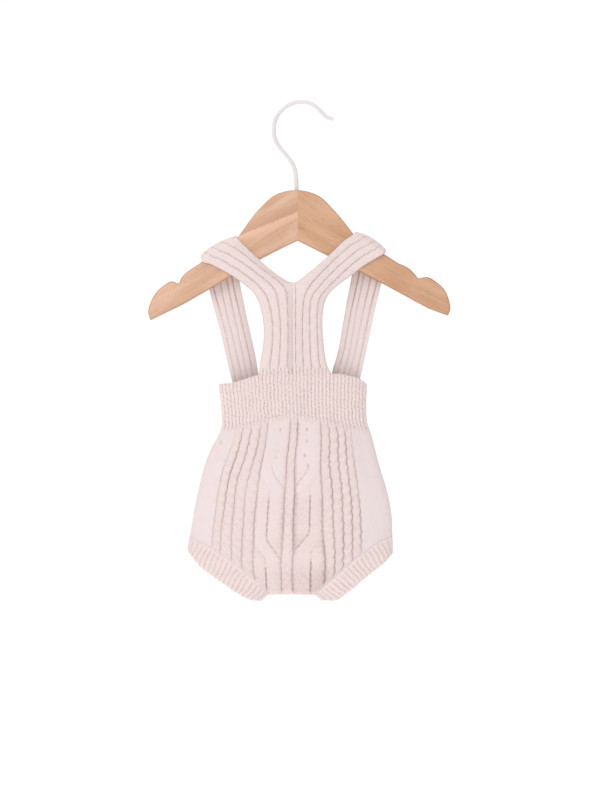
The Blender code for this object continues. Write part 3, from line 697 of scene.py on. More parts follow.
def front_relief(q, height, x):
    """Height of the face over the plain cloth in millimetres, and how raised it looks."""
    k = np.clip(np.floor(q), -1, LINES - 1)
    u = 2 * (q - k) - 1
    out = np.maximum(-q, q - (LINES - 1))
    cables = (k == LEFT_CABLE) | (k == RIGHT_CABLE)
    found = rope(u, height, np.where(k < MIDDLE_ROPE, 1.0, -1.0), 1.7 * k)
    found = np.where(k == LEFT_CABLE, cable(u, height, CROSSINGS_LEFT), found)
    found = np.where(k == RIGHT_CABLE, cable(-u, height, CROSSINGS_RIGHT), found)
    found = np.where(out > 0, PLAIN * ease(out / 0.035), found)
    for line in (0, LINES - 1):
        beside = ease((0.35 - np.abs(q - line)) / 0.2)
        fade = ease((height + 338) / 16) * 0.9
        found = np.maximum(found, fade * beside * (PLAIN + ROPE) / 2)
    for dip_x, dip_z, reach_x, reach_z, depth in DIPS:
        away = ((x - dip_x) / reach_x) ** 2 + ((height - dip_z) / reach_z) ** 2
        found = found - depth * np.exp(-away)
    level = np.where(out > 0, PLAIN, ROPE)
    line = np.clip(np.where(u < 0, k, k + 1), 0, LINES - 1).astype(int)
    deep = np.clip(pick(smooth_through(GROOVE_DEPTHS, -height), line), 0.1, 1.0)
    beside_line = ease((np.abs(u) - 0.55) / 0.2)
    shallow = (1 - deep) * beside_line * np.clip(1 - found / level, 0, 1)
    found = found + 0.45 * shallow * level
    # painted shade in the grooves: uneven along them in knots, and lighter beside a line where it is
    # shallow
    knots = 0.5 + 0.5 * uneven(height * 1.1, 2.7 * line, 15)
    share = np.clip(found / level, 0, 1) ** (0.45 + 0.35 * knots)
    share = 1 - (1 - share) * (1 - 0.75 * (1 - deep) * beside_line)
    flat = np.where(out > 0, 0.45, np.where(cables, 0.32, 0.0))
    # painted shade on the outer flanks of each rope, so that it looks round
    painted_flank_shade = np.where((out > 0) | cables, 0.0, 0.12) * np.abs(u) ** 3
    return found, share + flat * ease((share - 0.8) / 0.2) - painted_flank_shade - painted_shade_below(x, height, k)


print("a rope stands", ROPE, "mm over its grooves")

# %% [markdown]
# ## Soft creases
# Knitted cloth drapes in shallow troughs that differ in length, depth and spacing. Each is
# listed as a line with a width and a depth, and fades at its ends.

# %% Troughs and ridges
FRONT_CREASES = (  # from x, height, to x, height, width, depth, where a ridge is negative
    (-84, -330, -99, -400, 6, 0.9), (-74, -326, -82, -352, 3.2, 0.9), (-80, -334, -92, -358, 4, -0.8),
    (-78, -345, -71, -330, 4.5, 0.8), (58, -326, 68, -372, 5, 0.8), (66, -330, 80, -385, 6, -0.7),
    (74, -400, 80, -432, 7, 0.7), (-100, -420, -92, -440, 5, 0.8), (-96, -395, -90, -432, 6, -0.6),
    (70, -425, 62, -447, 4, 0.7), (-30, -466, -52, -452, 5, 0.7), (30, -470, 46, -455, 5, 0.7),
)
BACK_CREASES = (
    (-66, -331, -78, -392, 5, 1.1), (-50, -331, -56, -375, 4, 0.9), (-28, -333, -30, -405, 6, 1.2),
    (-12, -333, -11, -368, 4, 0.8), (8, -333, 10, -415, 7, 1.2), (24, -332, 28, -372, 4, 0.9),
    (42, -331, 50, -398, 6, 1.1), (56, -330, 66, -362, 4, 0.8), (-92, -436, -70, -400, 7, 1.1),
    (-72, -446, -52, -418, 6, 1), (-48, -462, -30, -430, 6, 1), (26, -466, 14, -432, 6, 1),
    (48, -455, 34, -424, 6, 0.9), (72, -438, 52, -402, 7, 1.1), (-20, -480, -4, -448, 5, 0.8),
    (-95, -372, -98, -420, 6, -0.8), (74, -372, 79, -424, 6, -0.8),
)


def soft_creases(creases, x, z):
    """Sum of the troughs at some places of the cloth."""
    found = np.zeros_like(x)
    for x0, z0, x1, z1, width, depth in creases:
        along = np.array([x1 - x0, z1 - z0])
        length = np.linalg.norm(along)
        t = ((x - x0) * along[0] + (z - z0) * along[1]) / length**2
        away = ((x - x0) * along[1] - (z - z0) * along[0]) / length
        share = ease((t + 0.25) / 0.45) * ease((1.35 - t) / 0.6)
        found += depth * share * bell(away / width)
    return found


print("creases laid by hand:", len(FRONT_CREASES) + len(BACK_CREASES))

# %% The front panel
EVEN_EDGE = 0.85  # height of the cloth along an edge that is joined to a band
SEAM_FADE = 0.16  # of the sine of the turn, over which drape fades out at the side seams
FRONT_ROWS = 236
SETTLING = 6  # passes that bring each column onto its groove line


def pattern_columns():
    """Pattern numbers of the grid's columns, closer together beside each groove."""
    columns = [-1 + np.linspace(0, 1, 34)[:-1] ** 0.9]
    for k in range(LINES - 1):
        count, sharp = (56, 1.0) if k in (LEFT_CABLE, RIGHT_CABLE) else (14, 1.35)
        share = np.linspace(-1, 1, count + 1)[:-1]
        bent = np.sign(share) * (1 - (1 - np.abs(share)) ** sharp)
        columns.append(k + (1 + bent) / 2)
    columns.append(LINES - 1 + np.linspace(0, 1, 31) ** 1.1)
    return np.concatenate(columns)


def from_waist_ribs(turn, height, reach, seed, relief, raised):
    """Lets the waistband's ribs run out over the first rows of a piece that joins it."""
    ribs, rib_raised = waist_ribbing(turn, height, seed)
    share = 1 - ease((height[:1] - height - 1.0) / reach)
    # the ribs' painted groove shade is made lighter where they run out over the piece
    rib_raised = 1.1 - 0.7 * (1 - np.clip(rib_raised, 0, 1))
    return blend(relief, ribs, share), blend(raised, rib_raised, share)


def build_front():
    surface = body_surface(WAIST_SEAM_FRONT, LEG_SEAM, -1, -STITCHED / 2)
    down, q = np.meshgrid(np.linspace(0, 1, FRONT_ROWS), pattern_columns(), indexing="ij")
    turn = np.full_like(q, math.pi / 2)
    for _ in range(SETTLING):
        turn = np.arccos(-pattern_across(q, surface(turn, down)[..., 2]))
    inside = surface(turn, down)
    normal = surface_normals(surface, np.clip(turn, 0.0, math.pi), down, -1)
    x, height = inside[..., 0], inside[..., 2]
    relief, raised = front_relief(q, height, x)
    plain = ease(np.maximum(-q, q - (LINES - 1)) / 0.08)
    drape = -soft_creases(FRONT_CREASES, x, height) * (0.35 + 0.65 * plain)
    drape += 0.35 * uneven(x * 0.07, height * 0.05, 5) * (0.4 + 0.6 * plain)
    ends = ease(np.minimum(down, 1 - down) / 0.05)
    relief = relief + drape * ends * ease(np.sin(turn) / SEAM_FADE)
    reach = 8.0 + 2.0 * uneven(x * 0.3, 0 * x, 17)
    relief, raised = from_waist_ribs(turn, height, reach, FRONT_RIBS, relief, raised)
    low = ease((height - height[-1:]) / 4.0)
    low = np.maximum(low, 0.6 * ease((CROTCH + 3 - height[-1:]) / 3))
    raised = blend(0.9, raised, low)
    face = inside + normal * (KNIT + blend(EVEN_EDGE, relief, low))[..., None]
    return cloth_wall("shorts_front", "front_panel", face, inside[::3, ::3], pink_knit, raised)


shorts_front = build_front()

# %% [markdown]
# ## The plain back
# Only the front shows, so the back is plain stocking stitch, as on most such shorts. Uneven
# gathers fall from the waist seam, and a few longer troughs run towards the leg openings.

# %% The back panel
BACK_GATHERS = (  # across, reach down as a share, width, height
    (-0.9, 0.22, 0.030, 0.9), (-0.79, 0.34, 0.034, 1.2), (-0.66, 0.2, 0.028, 0.9),
    (-0.56, 0.42, 0.036, 1.3), (-0.44, 0.26, 0.03, 1.0), (-0.33, 0.18, 0.026, 0.8),
    (-0.22, 0.46, 0.038, 1.3), (-0.1, 0.3, 0.03, 1.1), (0.01, 0.2, 0.028, 0.9), (0.12, 0.4, 0.036, 1.2),
    (0.25, 0.24, 0.03, 1.0), (0.35, 0.36, 0.034, 1.2), (0.47, 0.18, 0.026, 0.9), (0.57, 0.44, 0.038, 1.3),
    (0.7, 0.26, 0.03, 1.0), (0.82, 0.34, 0.034, 1.1), (0.92, 0.2, 0.028, 0.8),
)
BACK_ROWS, BACK_COLUMNS = 180, 300
DEEPEST, HIGHEST = -1.6, 1.9  # limits of the back's drape


def build_back():
    surface = body_surface(WAIST_SEAM_BACK, LEG_SEAM, 1, -STITCHED / 2)
    down, turn = np.meshgrid(
        np.linspace(0, 1, BACK_ROWS), even_turns(BACK_COLUMNS), indexing="ij")
    inside = surface(turn, down)
    normal = surface_normals(surface, turn, down, 1)
    x, height = inside[..., 0], inside[..., 2]
    across = -np.cos(turn)
    drape = np.zeros_like(x)
    for place, reach, width, rise in BACK_GATHERS:
        spread = width * (1 + 1.6 * down)
        wander = place + 0.02 * np.sin(9 * down + 31 * place)
        drape += rise * bell((across - wander) / spread) * (1 - ease(down / reach))
    drape += 0.45 * uneven(x * 0.06, height * 0.05, 11) - soft_creases(BACK_CREASES, x, height)
    drape *= ease((1 - down) / 0.05) * ease((down + 0.01) / 0.03) * ease(np.sin(turn) / SEAM_FADE)
    drape = np.clip(drape, DEEPEST, HIGHEST)
    # the drape's troughs get a little painted shade: a warmer, slightly darker tint than its ridges
    relief, raised = PLAIN + drape, 1.3 + 0.15 * drape
    reach = 5.0 + 1.5 * uneven(x * 0.3, 0 * x, 19)
    relief, raised = from_waist_ribs(turn, height, reach, BACK_RIBS, relief, raised)
    face = inside + normal * (KNIT + relief)[..., None]
    return cloth_wall("shorts_back", "back_panel", face, inside[::3, ::3], pink_knit, raised)


shorts_back = build_back()

# %% [markdown]
# ## The ribbed waistband
# Each half of the band is one wall. Its top edge is bound off in small round stitches and
# is rounded where it is free, while it stays full where the straps are joined on, so that
# no seam shows there.

# %% Front and back of the waistband
BAND_HEIGHT = 44.0
BAND_ROWS = 91
BOUND_OFF = 1.8  # radius of its free top edge


def build_waistband(name, node, side, top, seam, joined, seed):
    """One half of the band. joined gives the left and right edge of each strap's place."""
    surface = body_surface(top, seam, side, bottom_gap=STITCHED / 2)
    down, turn = np.meshgrid(
        np.linspace(0, 1, BAND_ROWS), even_turns(WAIST_RIBS * COLUMNS), indexing="ij")
    inside = surface(turn, down)
    normal = surface_normals(surface, turn, down, side)
    x = inside[..., 0]
    relief, raised = waist_ribbing(turn, inside[..., 2], seed)
    under_strap = np.zeros_like(down)
    for left, right in joined:
        under_strap = np.maximum(under_strap, ease((x - left) / 1.5) * ease((right - x) / 1.5))
    free = (1 - under_strap) * 0.8
    thick = (KNIT + relief) * (1 - free + free * rounded_edge(down * BAND_HEIGHT, BOUND_OFF))
    face = inside + normal * thick[..., None]
    return cloth_wall(name, node, face, inside[::2, ::2], pink_rib, raised, stitches=WAIST_RIBS)


waist_front = build_waistband(
    "waist_rib_front", "waistband_front", -1, WAIST_TOP_FRONT, WAIST_SEAM_FRONT,
    ((-41.0, 31.0),), FRONT_RIBS)
waist_back = build_waistband(
    "waist_rib_back", "waistband_back", 1, WAIST_TOP_BACK, WAIST_SEAM_BACK,
    ((-67.0, -39.5), (29.5, 58.5)), BACK_RIBS)

# %% [markdown]
# ## The leg bands
# Each leg opening is finished with the same rib, picked up round the edge, so its ribs
# stand square to the opening. The band draws the cloth in a little.

# %% A rib ring round each leg
LEG_RIBS = 38
LEG_RIB = 1.25  # height of a rib
LEG_COLUMNS = 9  # columns of the grid for each rib
LEG_ROWS = 33
LEG_BAND = 17.0  # height of the band
LEG_KNITTED = 18.0  # its height before its free edge is rounded
LEG_EDGE_LEFT = (  # along, x, height
    (0, -110.4, -447.5), (0.12, -101.8, -459.5), (0.3, -88, -470.5), (0.5, -74, -480.5),
    (0.7, -61, -489.5), (0.85, -51, -494.8), (1, -41, -496),
)
LEG_EDGE_RIGHT = (
    (0, 90.6, -450), (0.12, 84.4, -457.9), (0.3, 72.6, -467), (0.5, 60.1, -477.3), (0.7, 47.8, -487.8),
    (0.85, 36.5, -495.4), (1, 23.5, -495.2),
)
LEG_BAND_DRAW = 0.26  # how much narrower the opening is than the cloth it is knitted to
LEG_LEAN = 0.09  # how far the ribs lean towards the side seam
CROTCH_CLEAR = 1.2


def leg_surface(edge, side_seam, crotch_corner):
    """The inside of a leg band: turn goes round it, down goes to its free edge."""

    def surface(turn, down):
        along = (1 - np.cos(turn)) / 2
        across = side_seam + (crotch_corner - side_seam) * along
        height = np.maximum(smooth_through(LEG_SEAM, across), CROTCH)
        seam = body_point(across, 1.0, height, 1)
        leaning = along - LEG_LEAN * ease(np.minimum(along, 1 - along) / 0.18)
        way = smooth_through(edge, leaning) - seam[..., ::2]
        clear = STITCHED + CROTCH_CLEAR * ease((along - 0.8) / 0.2)
        clear = clear / np.hypot(way[..., 0], way[..., 1])
        share = clear + (1 - clear) * down
        place = seam[..., ::2] + way * share[..., None]
        y = -np.sign(np.sin(turn)) * (seam[..., 1] - SEAM / 2) * (1 - LEG_BAND_DRAW * share)
        return np.stack([place[..., 0], y, place[..., 1]], axis=-1)

    return surface


def band_depth(x, height):
    """Half depth of the body's inside at a place across it."""
    middle, half_width, half_depth = ring_at(height)
    return SEAM / 2 + half_depth * fullness(np.clip((x - middle) / half_width, -1, 1))


def body_normals(place, side):
    """Outward unit normals of the plain body at some places of its surface."""
    x, height = place[..., 0], place[..., 2]
    step = 0.2
    over_x = (band_depth(x + step, height) - band_depth(x - step, height)) / (2 * step)
    over_z = (band_depth(x, height + step) - band_depth(x, height - step)) / (2 * step)
    return unit(np.stack([-over_x, side, -over_z], axis=-1))


def build_leg_band(name, node, edge, side_seam, corner, outward, seed):
    surface = leg_surface(edge, side_seam, corner)
    fine = np.linspace(0, 2 * math.pi, FINE)
    middle = surface(fine, np.full_like(fine, 0.5))
    down, turn = np.meshgrid(
        np.linspace(0, 1, LEG_ROWS), evenly(fine, middle, LEG_RIBS * LEG_COLUMNS), indexing="ij")
    inside = surface(turn, down)
    normal = surface_normals(surface, turn, down, outward)
    from_body = (1 - ease(down / 0.3)) * ease((0.9 + np.cos(turn)) / 0.4)
    from_body = from_body * ease(np.abs(np.sin(turn)) / 0.1)
    body = body_normals(inside, np.where(np.sin(turn) > 0, -1.0, 1.0))
    normal = unit(blend(normal, body, from_body[..., None]))
    phase = np.arange(LEG_RIBS * LEG_COLUMNS + 1)[None, :] / LEG_COLUMNS + 0 * down
    round_trip = 2 * math.pi * phase / LEG_RIBS
    bend = 0.1 * np.sin(5 * round_trip + 6 * down + seed)
    ribs = ridge(2 * ((phase + bend) % 1.0) - 1, 2.4)
    beads = wave(down * LEG_KNITTED / COURSE / BEADS_EVERY)
    relief = LEG_RIB * ribs * (0.9 + 0.1 * beads) + 0.1 * beads
    relief += 0.3 * np.sin(3 * round_trip + seed) * np.sin(2 * down + seed)
    grown = ease((down - 0.01) / 0.16)
    scallops = rounded_edge((1 - down) * LEG_BAND, 1.3 + 1.4 * ribs)
    thick = (KNIT + blend(EVEN_EDGE, relief, grown)) * (0.2 + 0.8 * scallops)
    # painted shade in the ribs' grooves, stronger and weaker in waves round the band
    groove_shade_wave = 0.5 + 0.5 * np.sin(7 * round_trip + 5 * down + seed)
    raised = 0.9 - grown * (0.06 + (0.45 + 0.2 * groove_shade_wave) * (1 - ribs**0.8))
    for part in (thick, normal, inside, raised):
        part[:, -1] = part[:, 0]
    face = inside + normal * thick[..., None]
    return cloth_wall(
        name, node, face, inside[::2, ::3], pink_rib, raised, stitches=LEG_RIBS, closed=True)


leg_left = build_leg_band(
    "leg_rib_left", "leg_band_left", LEG_EDGE_LEFT, -1.0, CROTCH_LEFT, -1, 1.0)
leg_right = build_leg_band(
    "leg_rib_right", "leg_band_right", LEG_EDGE_RIGHT, 1.0, CROTCH_RIGHT, 1, 2.2)

# %% [markdown]
# ## The ribbed straps
# The bib is two ribbed strips that lie side by side, part at the neck, fold over the arms
# and come down behind to the back of the waistband. Each strip is a row of stations: one
# point on the neck edge and one on the arm edge. Deep grooves part its wide ribs, three on
# the left strip and four on the right one. On the inside, which shows on the way down
# behind, the ribs are the other way round.

# %% Stations along the straps
WOOD = 12.0  # thickness of the hanger's arms
STRAP_FRONT_LEFT = (  # neck x, neck height, arm x, arm height
    (-7.01, -270, -41, -270.5), (-7.01, -256, -39, -256), (-7.01, -241, -36.6, -241),
    (-7.01, -226, -36, -227), (-7.01, -212, -37, -214), (-7.01, -199.5, -39.5, -203),
    (-7.01, -188, -42.5, -195.5), (-7.01, -179.8, -45.8, -190), (-10.5, -178.3, -49.5, -185.8),
    (-16, -175.4, -54.5, -181.8), (-27, -167.9, -60.5, -177.2), (-38, -158.3, -68.5, -171.8),
    (-49, -148.2, -78.5, -166.4), (-57.5, -140, -88.5, -161.2),
)
STRAP_FRONT_RIGHT = (
    (-6.99, -270, 31, -270.5), (-6.99, -258, 26, -258), (-6.99, -241, 23.6, -241),
    (-6.99, -226, 22.4, -226), (-6.99, -212, 22.4, -213), (-6.99, -199.5, 23.8, -201.5),
    (-6.99, -188, 26.4, -194.5), (-6.99, -179.8, 29.4, -189.8), (-3.4, -178.1, 33.2, -185.8),
    (2.6, -173.8, 38.2, -181.5), (12, -166.4, 44.5, -176.8), (22.5, -157.3, 52.5, -170.8),
    (34, -147, 63, -162.8), (44.5, -137, 73.5, -156.4),
)
STRAP_BACK_LEFT = (
    (-63, -156, -93.5, -174), (-60, -180, -90, -190), (-56, -200, -85.5, -207),
    (-50.8, -224, -79.3, -230), (-45.5, -248, -73.8, -254), (-42.3, -266, -69.8, -270),
    (-39.5, -283, -67, -283),
)
STRAP_BACK_RIGHT = (
    (54.5, -152, 83.8, -167), (51.3, -175, 80.6, -184), (47.2, -196, 76, -202.5), (43, -220, 71, -225.5),
    (38.4, -246, 65.5, -251.5), (33, -265, 61.5, -269), (29.5, -282, 58.5, -282),
)
CROSS_LEFT = (3.5, 45.5, 2.0, 43.0)  # along the arm: neck and arm edge in front, then behind
CROSS_RIGHT = (0.0, 36.2, 1.0, 36.7)
LEFT_SLOPE = ((-60.3, -131.3), (-104.5, -160.6))  # both ends of the arm's straight top edge
RIGHT_SLOPE = ((54.0, -129.0), (98.0, -157.8))
NECK_X = -7.0  # where the two strips meet
STRAP_REACH = WOOD / 2 + 0.5
STRAP_SETTLES = 6  # stations in which a strap goes from the waist's depth to the arm's
STRAP_SINK = 3.0
CROWNS_LEFT = (1.4, 4.9)  # rise over the arm at the neck edge and at the arm edge
CROWNS_RIGHT = (2.3, 3.2)
STRAP_PUFF = 3.2
ARM_STATIONS = 7


def arm_top_edge(slope):
    """Start, outward direction and upward direction of one arm's straight top edge."""
    start, end = np.array(slope)
    outward = (end - start) / np.linalg.norm(end - start)
    upward = np.array([-outward[1], outward[0]]) * np.sign(outward[0])
    return start, outward, upward


def band_edge(x, edge):
    """Height of the waistband's top edge over a place across it."""
    height = np.full_like(np.asarray(x, float), -275.0)
    for _ in range(3):
        middle, half_width, _ = ring_at(height)
        height = smooth_through(edge, (x - middle) / half_width)
    return height


def strap_stations(front, back, crossing, slope, crowns):
    """Stations along a strap: a point by the neck, one by the arm and the puff between."""
    start, outward, upward = arm_top_edge(slope)

    def hanging(row, side, edge, share, last):
        pair = []
        for x, z in (row[:2], row[2:]):
            if last:
                z = band_edge(x, edge) + STITCHED
            pair += [x, side * blend(STRAP_REACH, band_depth(x, z), share), z]
        return pair + [0.0, 0.0, 0.0]

    def over_arm(swing):
        pair = []
        for (front_place, back_place), crown in zip((crossing[::2], crossing[1::2]), crowns):
            place = blend(front_place, back_place, swing / math.pi)
            x, z = start + outward * place + upward * (crown * math.sin(swing) - STRAP_SINK)
            pair += [x, -STRAP_REACH * math.cos(swing), z]
        puff_x, puff_z = upward * STRAP_PUFF * math.sin(swing) ** 2
        return pair + [puff_x, 0.0, puff_z]

    stations = [
        hanging(row, -1, WAIST_TOP_FRONT, 1 - ease(k / STRAP_SETTLES), k == 0)
        for k, row in enumerate(front)]
    stations += [over_arm(swing) for swing in np.linspace(0, math.pi, ARM_STATIONS)]
    end = len(back) - 1
    stations += [
        hanging(row, 1, WAIST_TOP_BACK, ease((k - 1) / (end - 1)), k == end)
        for k, row in enumerate(back)]
    return stations


print("a strap folds over the arm in", ARM_STATIONS, "stations")

# %% The strap's ribs and edges
STRAP_RIB = 1.05  # height of a rib
STRAP_STITCHES = 15  # across a strap
STRAP_ROWS, STRAP_COLUMNS = 390, 15  # steps along a strap, and across each rib
STRAP_EDGE = 2.4  # radius of its edges
GROOVE_REACH = 0.8  # half width of a groove on the inside
BIB_ENDS = 7.2  # station from which the neck edge is free
FOLD_STARTS, FOLD_ENDS = 11.0, 22.5  # stations of the fold over the arm
STRAP_GROOVES_LEFT = (  # station, then the share across of each groove
    (0, 0.16, 0.43, 0.70), (3, 0.165, 0.425, 0.69), (5, 0.17, 0.44, 0.71), (6, 0.18, 0.45, 0.73),
    (7, 0.25, 0.5, 0.76), (8, 0.22, 0.465, 0.75), (9, 0.17, 0.42, 0.71), (10.5, 0.17, 0.41, 0.70),
    (13, 0.23, 0.48, 0.73), (14.5, 0.29, 0.54, 0.77), (17, 0.44, 0.67, 0.86), (20, 0.32, 0.56, 0.79),
    (27, 0.25, 0.5, 0.75),
)
STRAP_GROOVES_RIGHT = (
    (0, 0.08, 0.30, 0.53, 0.77), (3, 0.08, 0.325, 0.57, 0.825), (5, 0.08, 0.34, 0.565, 0.82),
    (6, 0.075, 0.37, 0.59, 0.82), (7, 0.06, 0.44, 0.65, 0.85), (8, 0.04, 0.385, 0.63, 0.84),
    (9, 0.02, 0.34, 0.58, 0.81), (10.5, 0.02, 0.26, 0.51, 0.76), (13, 0.02, 0.23, 0.48, 0.72),
    (14.5, 0.02, 0.27, 0.52, 0.75), (17, 0.02, 0.38, 0.61, 0.82), (20, 0.02, 0.3, 0.54, 0.78),
    (27, 0.02, 0.25, 0.5, 0.75),
)
STRAP_INSIDE = (0.21, 0.4, 0.61, 0.84)  # share across of each groove on the inside
JOIN_HEIGHT = -262.6  # where the straps' ribs turn into the waistband's


def strap_columns(ribs):
    """Rib numbers of a strap's columns, closer together beside each groove."""
    share = np.linspace(-1, 1, STRAP_COLUMNS + 1)
    bent = (1 + np.sign(share) * (1 - (1 - np.abs(share)) ** 1.3)) / 2
    return np.append([k + bent[:-1] for k in range(ribs)], ribs)


def strap_face(q, k, station, first, length, seed):
    """Height of a strap's ribs, from 0 to 1, and how raised they look.

    first is the share across of the first groove, which runs out where it nears the neck.
    """
    ribs = ridge(2 * (q - k) - 1, 3.6)
    ribs = blend(ribs, 1.0, ease((0.078 - first) / 0.03) * (q < 1.5))
    bib = 1 - ease((station - BIB_ENDS) / 1.2)
    looks = np.maximum(ribs, np.where(q < 0.5, 1.0, 0.0))
    ribs = np.maximum(ribs, np.where(q < 0.5, bib, 0.0))
    fold = ease((station - FOLD_STARTS) / 3.5) * ease((FOLD_ENDS - station) / 3.0)
    shallow = blend(ribs, 0.9, 0.72 * fold)
    # painted shade in the grooves, in dashes, and weaker over the fold
    dashes = 0.5 + 0.5 * uneven(length * 0.9, k * 2.0, seed + 3)
    raised = 1 - (1 - np.clip(looks, 0, 1) ** 0.7) * (0.75 + 0.25 * dashes) * (1 - 0.2 * fold)
    return shallow, raised, bib


def build_strap(name, node, front, back, crossing, slope, crowns, grooves, outward, seed):
    stations = strap_stations(front, back, crossing, slope, crowns)
    last = len(stations) - 1
    table = [(k, *row) for k, row in enumerate(stations)]

    def surface(u, v):
        found = smooth_through(table, v * last)
        share = u[..., None]
        puff = 4 * share * (1 - share) * found[..., 6:]
        return blend(found[..., :3], found[..., 3:6], share) + puff

    fine = np.linspace(0, 1, FINE // 2)
    middle = surface(np.full_like(fine, 0.5), fine)
    count = len(grooves[0])
    v, q = np.meshgrid(evenly(fine, middle, STRAP_ROWS), strap_columns(count), indexing="ij")
    length = v * run_along(middle)[-1]
    places = smooth_through(grooves, v * last)
    edge = np.zeros_like(places[..., :1])
    places = np.concatenate([edge, places, edge + 1], axis=-1)
    k = np.clip(np.floor(q).astype(int), 0, count - 1)
    waver = 0.006 * np.sin(length * 0.55 + 2 * k + seed) * ease(np.minimum(q, count - q))
    u = np.clip(blend(pick(places, k), pick(places, k + 1), q - k) + waver, 0, 1)
    inside = surface(u, v)
    inside[..., 0] = outward * np.maximum(outward * inside[..., 0], outward * NECK_X + 0.01)
    for end, top in ((0, WAIST_TOP_FRONT), (-1, WAIST_TOP_BACK)):
        inside[end, :, 2] = band_edge(inside[end, :, 0], top) + STITCHED
    normal = surface_normals(surface, u, v, outward, level_ends=True)

    ribs, raised, bib = strap_face(q, k, v * last, places[..., 1], length, seed)
    fine_rib = 1 - wave(STRAP_STITCHES * u)
    # painted shade in the fine grooves between stitch columns
    raised = raised - 0.16 * (1 - fine_rib)
    beads = wave(length / COURSE / 1.6)
    relief = STRAP_RIB * ribs + 0.12 * fine_rib + 0.08 * beads
    relief = relief + 0.22 * uneven(length * 0.11, q * 1.5, seed)
    turn = turn_over(inside[..., 0], inside[..., 2])
    rib_relief, rib_raised = waist_ribbing(turn, inside[..., 2], FRONT_RIBS)
    join = ease((JOIN_HEIGHT - inside[..., 2]) / 2.5) * (v * last < 6)
    thick = KNIT + blend(relief, rib_relief, join)
    width = np.linalg.norm(inside[:, -1] - inside[:, 0], axis=1)[:, None]
    neck = blend(rounded_edge(u * width, STRAP_EDGE), 1.0, bib)
    free = np.minimum(neck, rounded_edge((1 - u) * width, STRAP_EDGE))
    face = inside + normal * (thick * (0.25 + 0.75 * free))[..., None]

    turned = np.zeros_like(u)
    for number, place in enumerate(STRAP_INSIDE):
        centre = place + 0.012 * np.sin(length * 0.07 + 2.3 * number + seed)
        turned = np.maximum(turned, bell((u - centre) * width / GROOVE_REACH))
    lining = inside + normal * (0.8 * turned * ease(free - 0.2))[..., None]
    # painted shade on the inside, which shows behind: in its grooves, more of it near the top under the
    # arm, and along the neck-side edge
    strength = 0.45 + 0.45 * (0.5 + 0.5 * uneven(u * 9, length * 0.05, seed + 9))
    strength = strength * (1 + 0.7 * ease((inside[..., 2] + 215) / 25))
    behind = 1.2 - strength * turned - 0.12 * (1 - fine_rib) - 0.5 * bell(u * width / 1.8)
    return cloth_wall(
        name, node, face, lining[::2], pink_rib, blend(raised, rib_raised, join), behind[::2],
        STRAP_STITCHES)


strap_left = build_strap(
    "strap_rib_left", "strap_left", STRAP_FRONT_LEFT, STRAP_BACK_LEFT, CROSS_LEFT,
    LEFT_SLOPE, CROWNS_LEFT, STRAP_GROOVES_LEFT, -1, 41)
strap_right = build_strap(
    "strap_rib_right", "strap_right", STRAP_FRONT_RIGHT, STRAP_BACK_RIGHT, CROSS_RIGHT,
    RIGHT_SLOPE, CROWNS_RIGHT, STRAP_GROOVES_RIGHT, 1, 47)

# %% [markdown]
# ## The beech hanger
# The hanger is sawn from two lengths of beech that meet in the middle, so that the grain
# runs along each sloping arm. The outline is traced through measured places, given its
# thickness with an extrusion, rounded with a bevel and cut at the joint. A hole for the
# hook goes in from the top.

# %% The hanger's outline
JOINT_X = -2.3
HANGER_RUNS = (  # how many steps, then x and height of each point
    (26, (-149.4, -216.2), (-151.6, -208), (-149, -198.2), (-143.6, -188.6),
     (-135.3, -181.2), (-128, -177.4), (-122.4, -179.4)),
    (12, (-120.6, -179.4), (-118.6, -174.2), (-112.6, -168.2), (-104.5, -162.6)),
    (48, (-61.6, -133.2), (-55, -123.6), (-40.2, -104.8), (-23, -90.4), (-3, -86.5),
     (17.6, -91.6), (35, -107.6), (53.4, -130.4)),
    (12, (98, -159.4), (109, -164.8), (115, -170.8), (117.9, -174.6)),
    (26, (119.8, -174.4), (126.5, -173.2), (136.8, -178.7), (144.4, -186.2),
     (149.2, -198.4), (150.1, -205), (147.8, -211.6)),
    (9, (128, -204.2), (56, -165.6), (22, -148.8), (JOINT_X, -136.6)),
    (12, (-20, -145.2), (-38, -154.4), (-60, -167), (-93, -186.6),
     (-117, -200.4)),
)
ARM_EDGE = 2.4  # radius of the arms' rounded edges
SHARP = math.radians(40)  # edges steeper than this stay crisp
WIRE = 4.0
HOOK_PLAY = 0.3  # room round the wire in its seat
HOOK_SEAT = 22.0  # depth of the seat
HOOK_FOOT = (-3.4, -107.0)


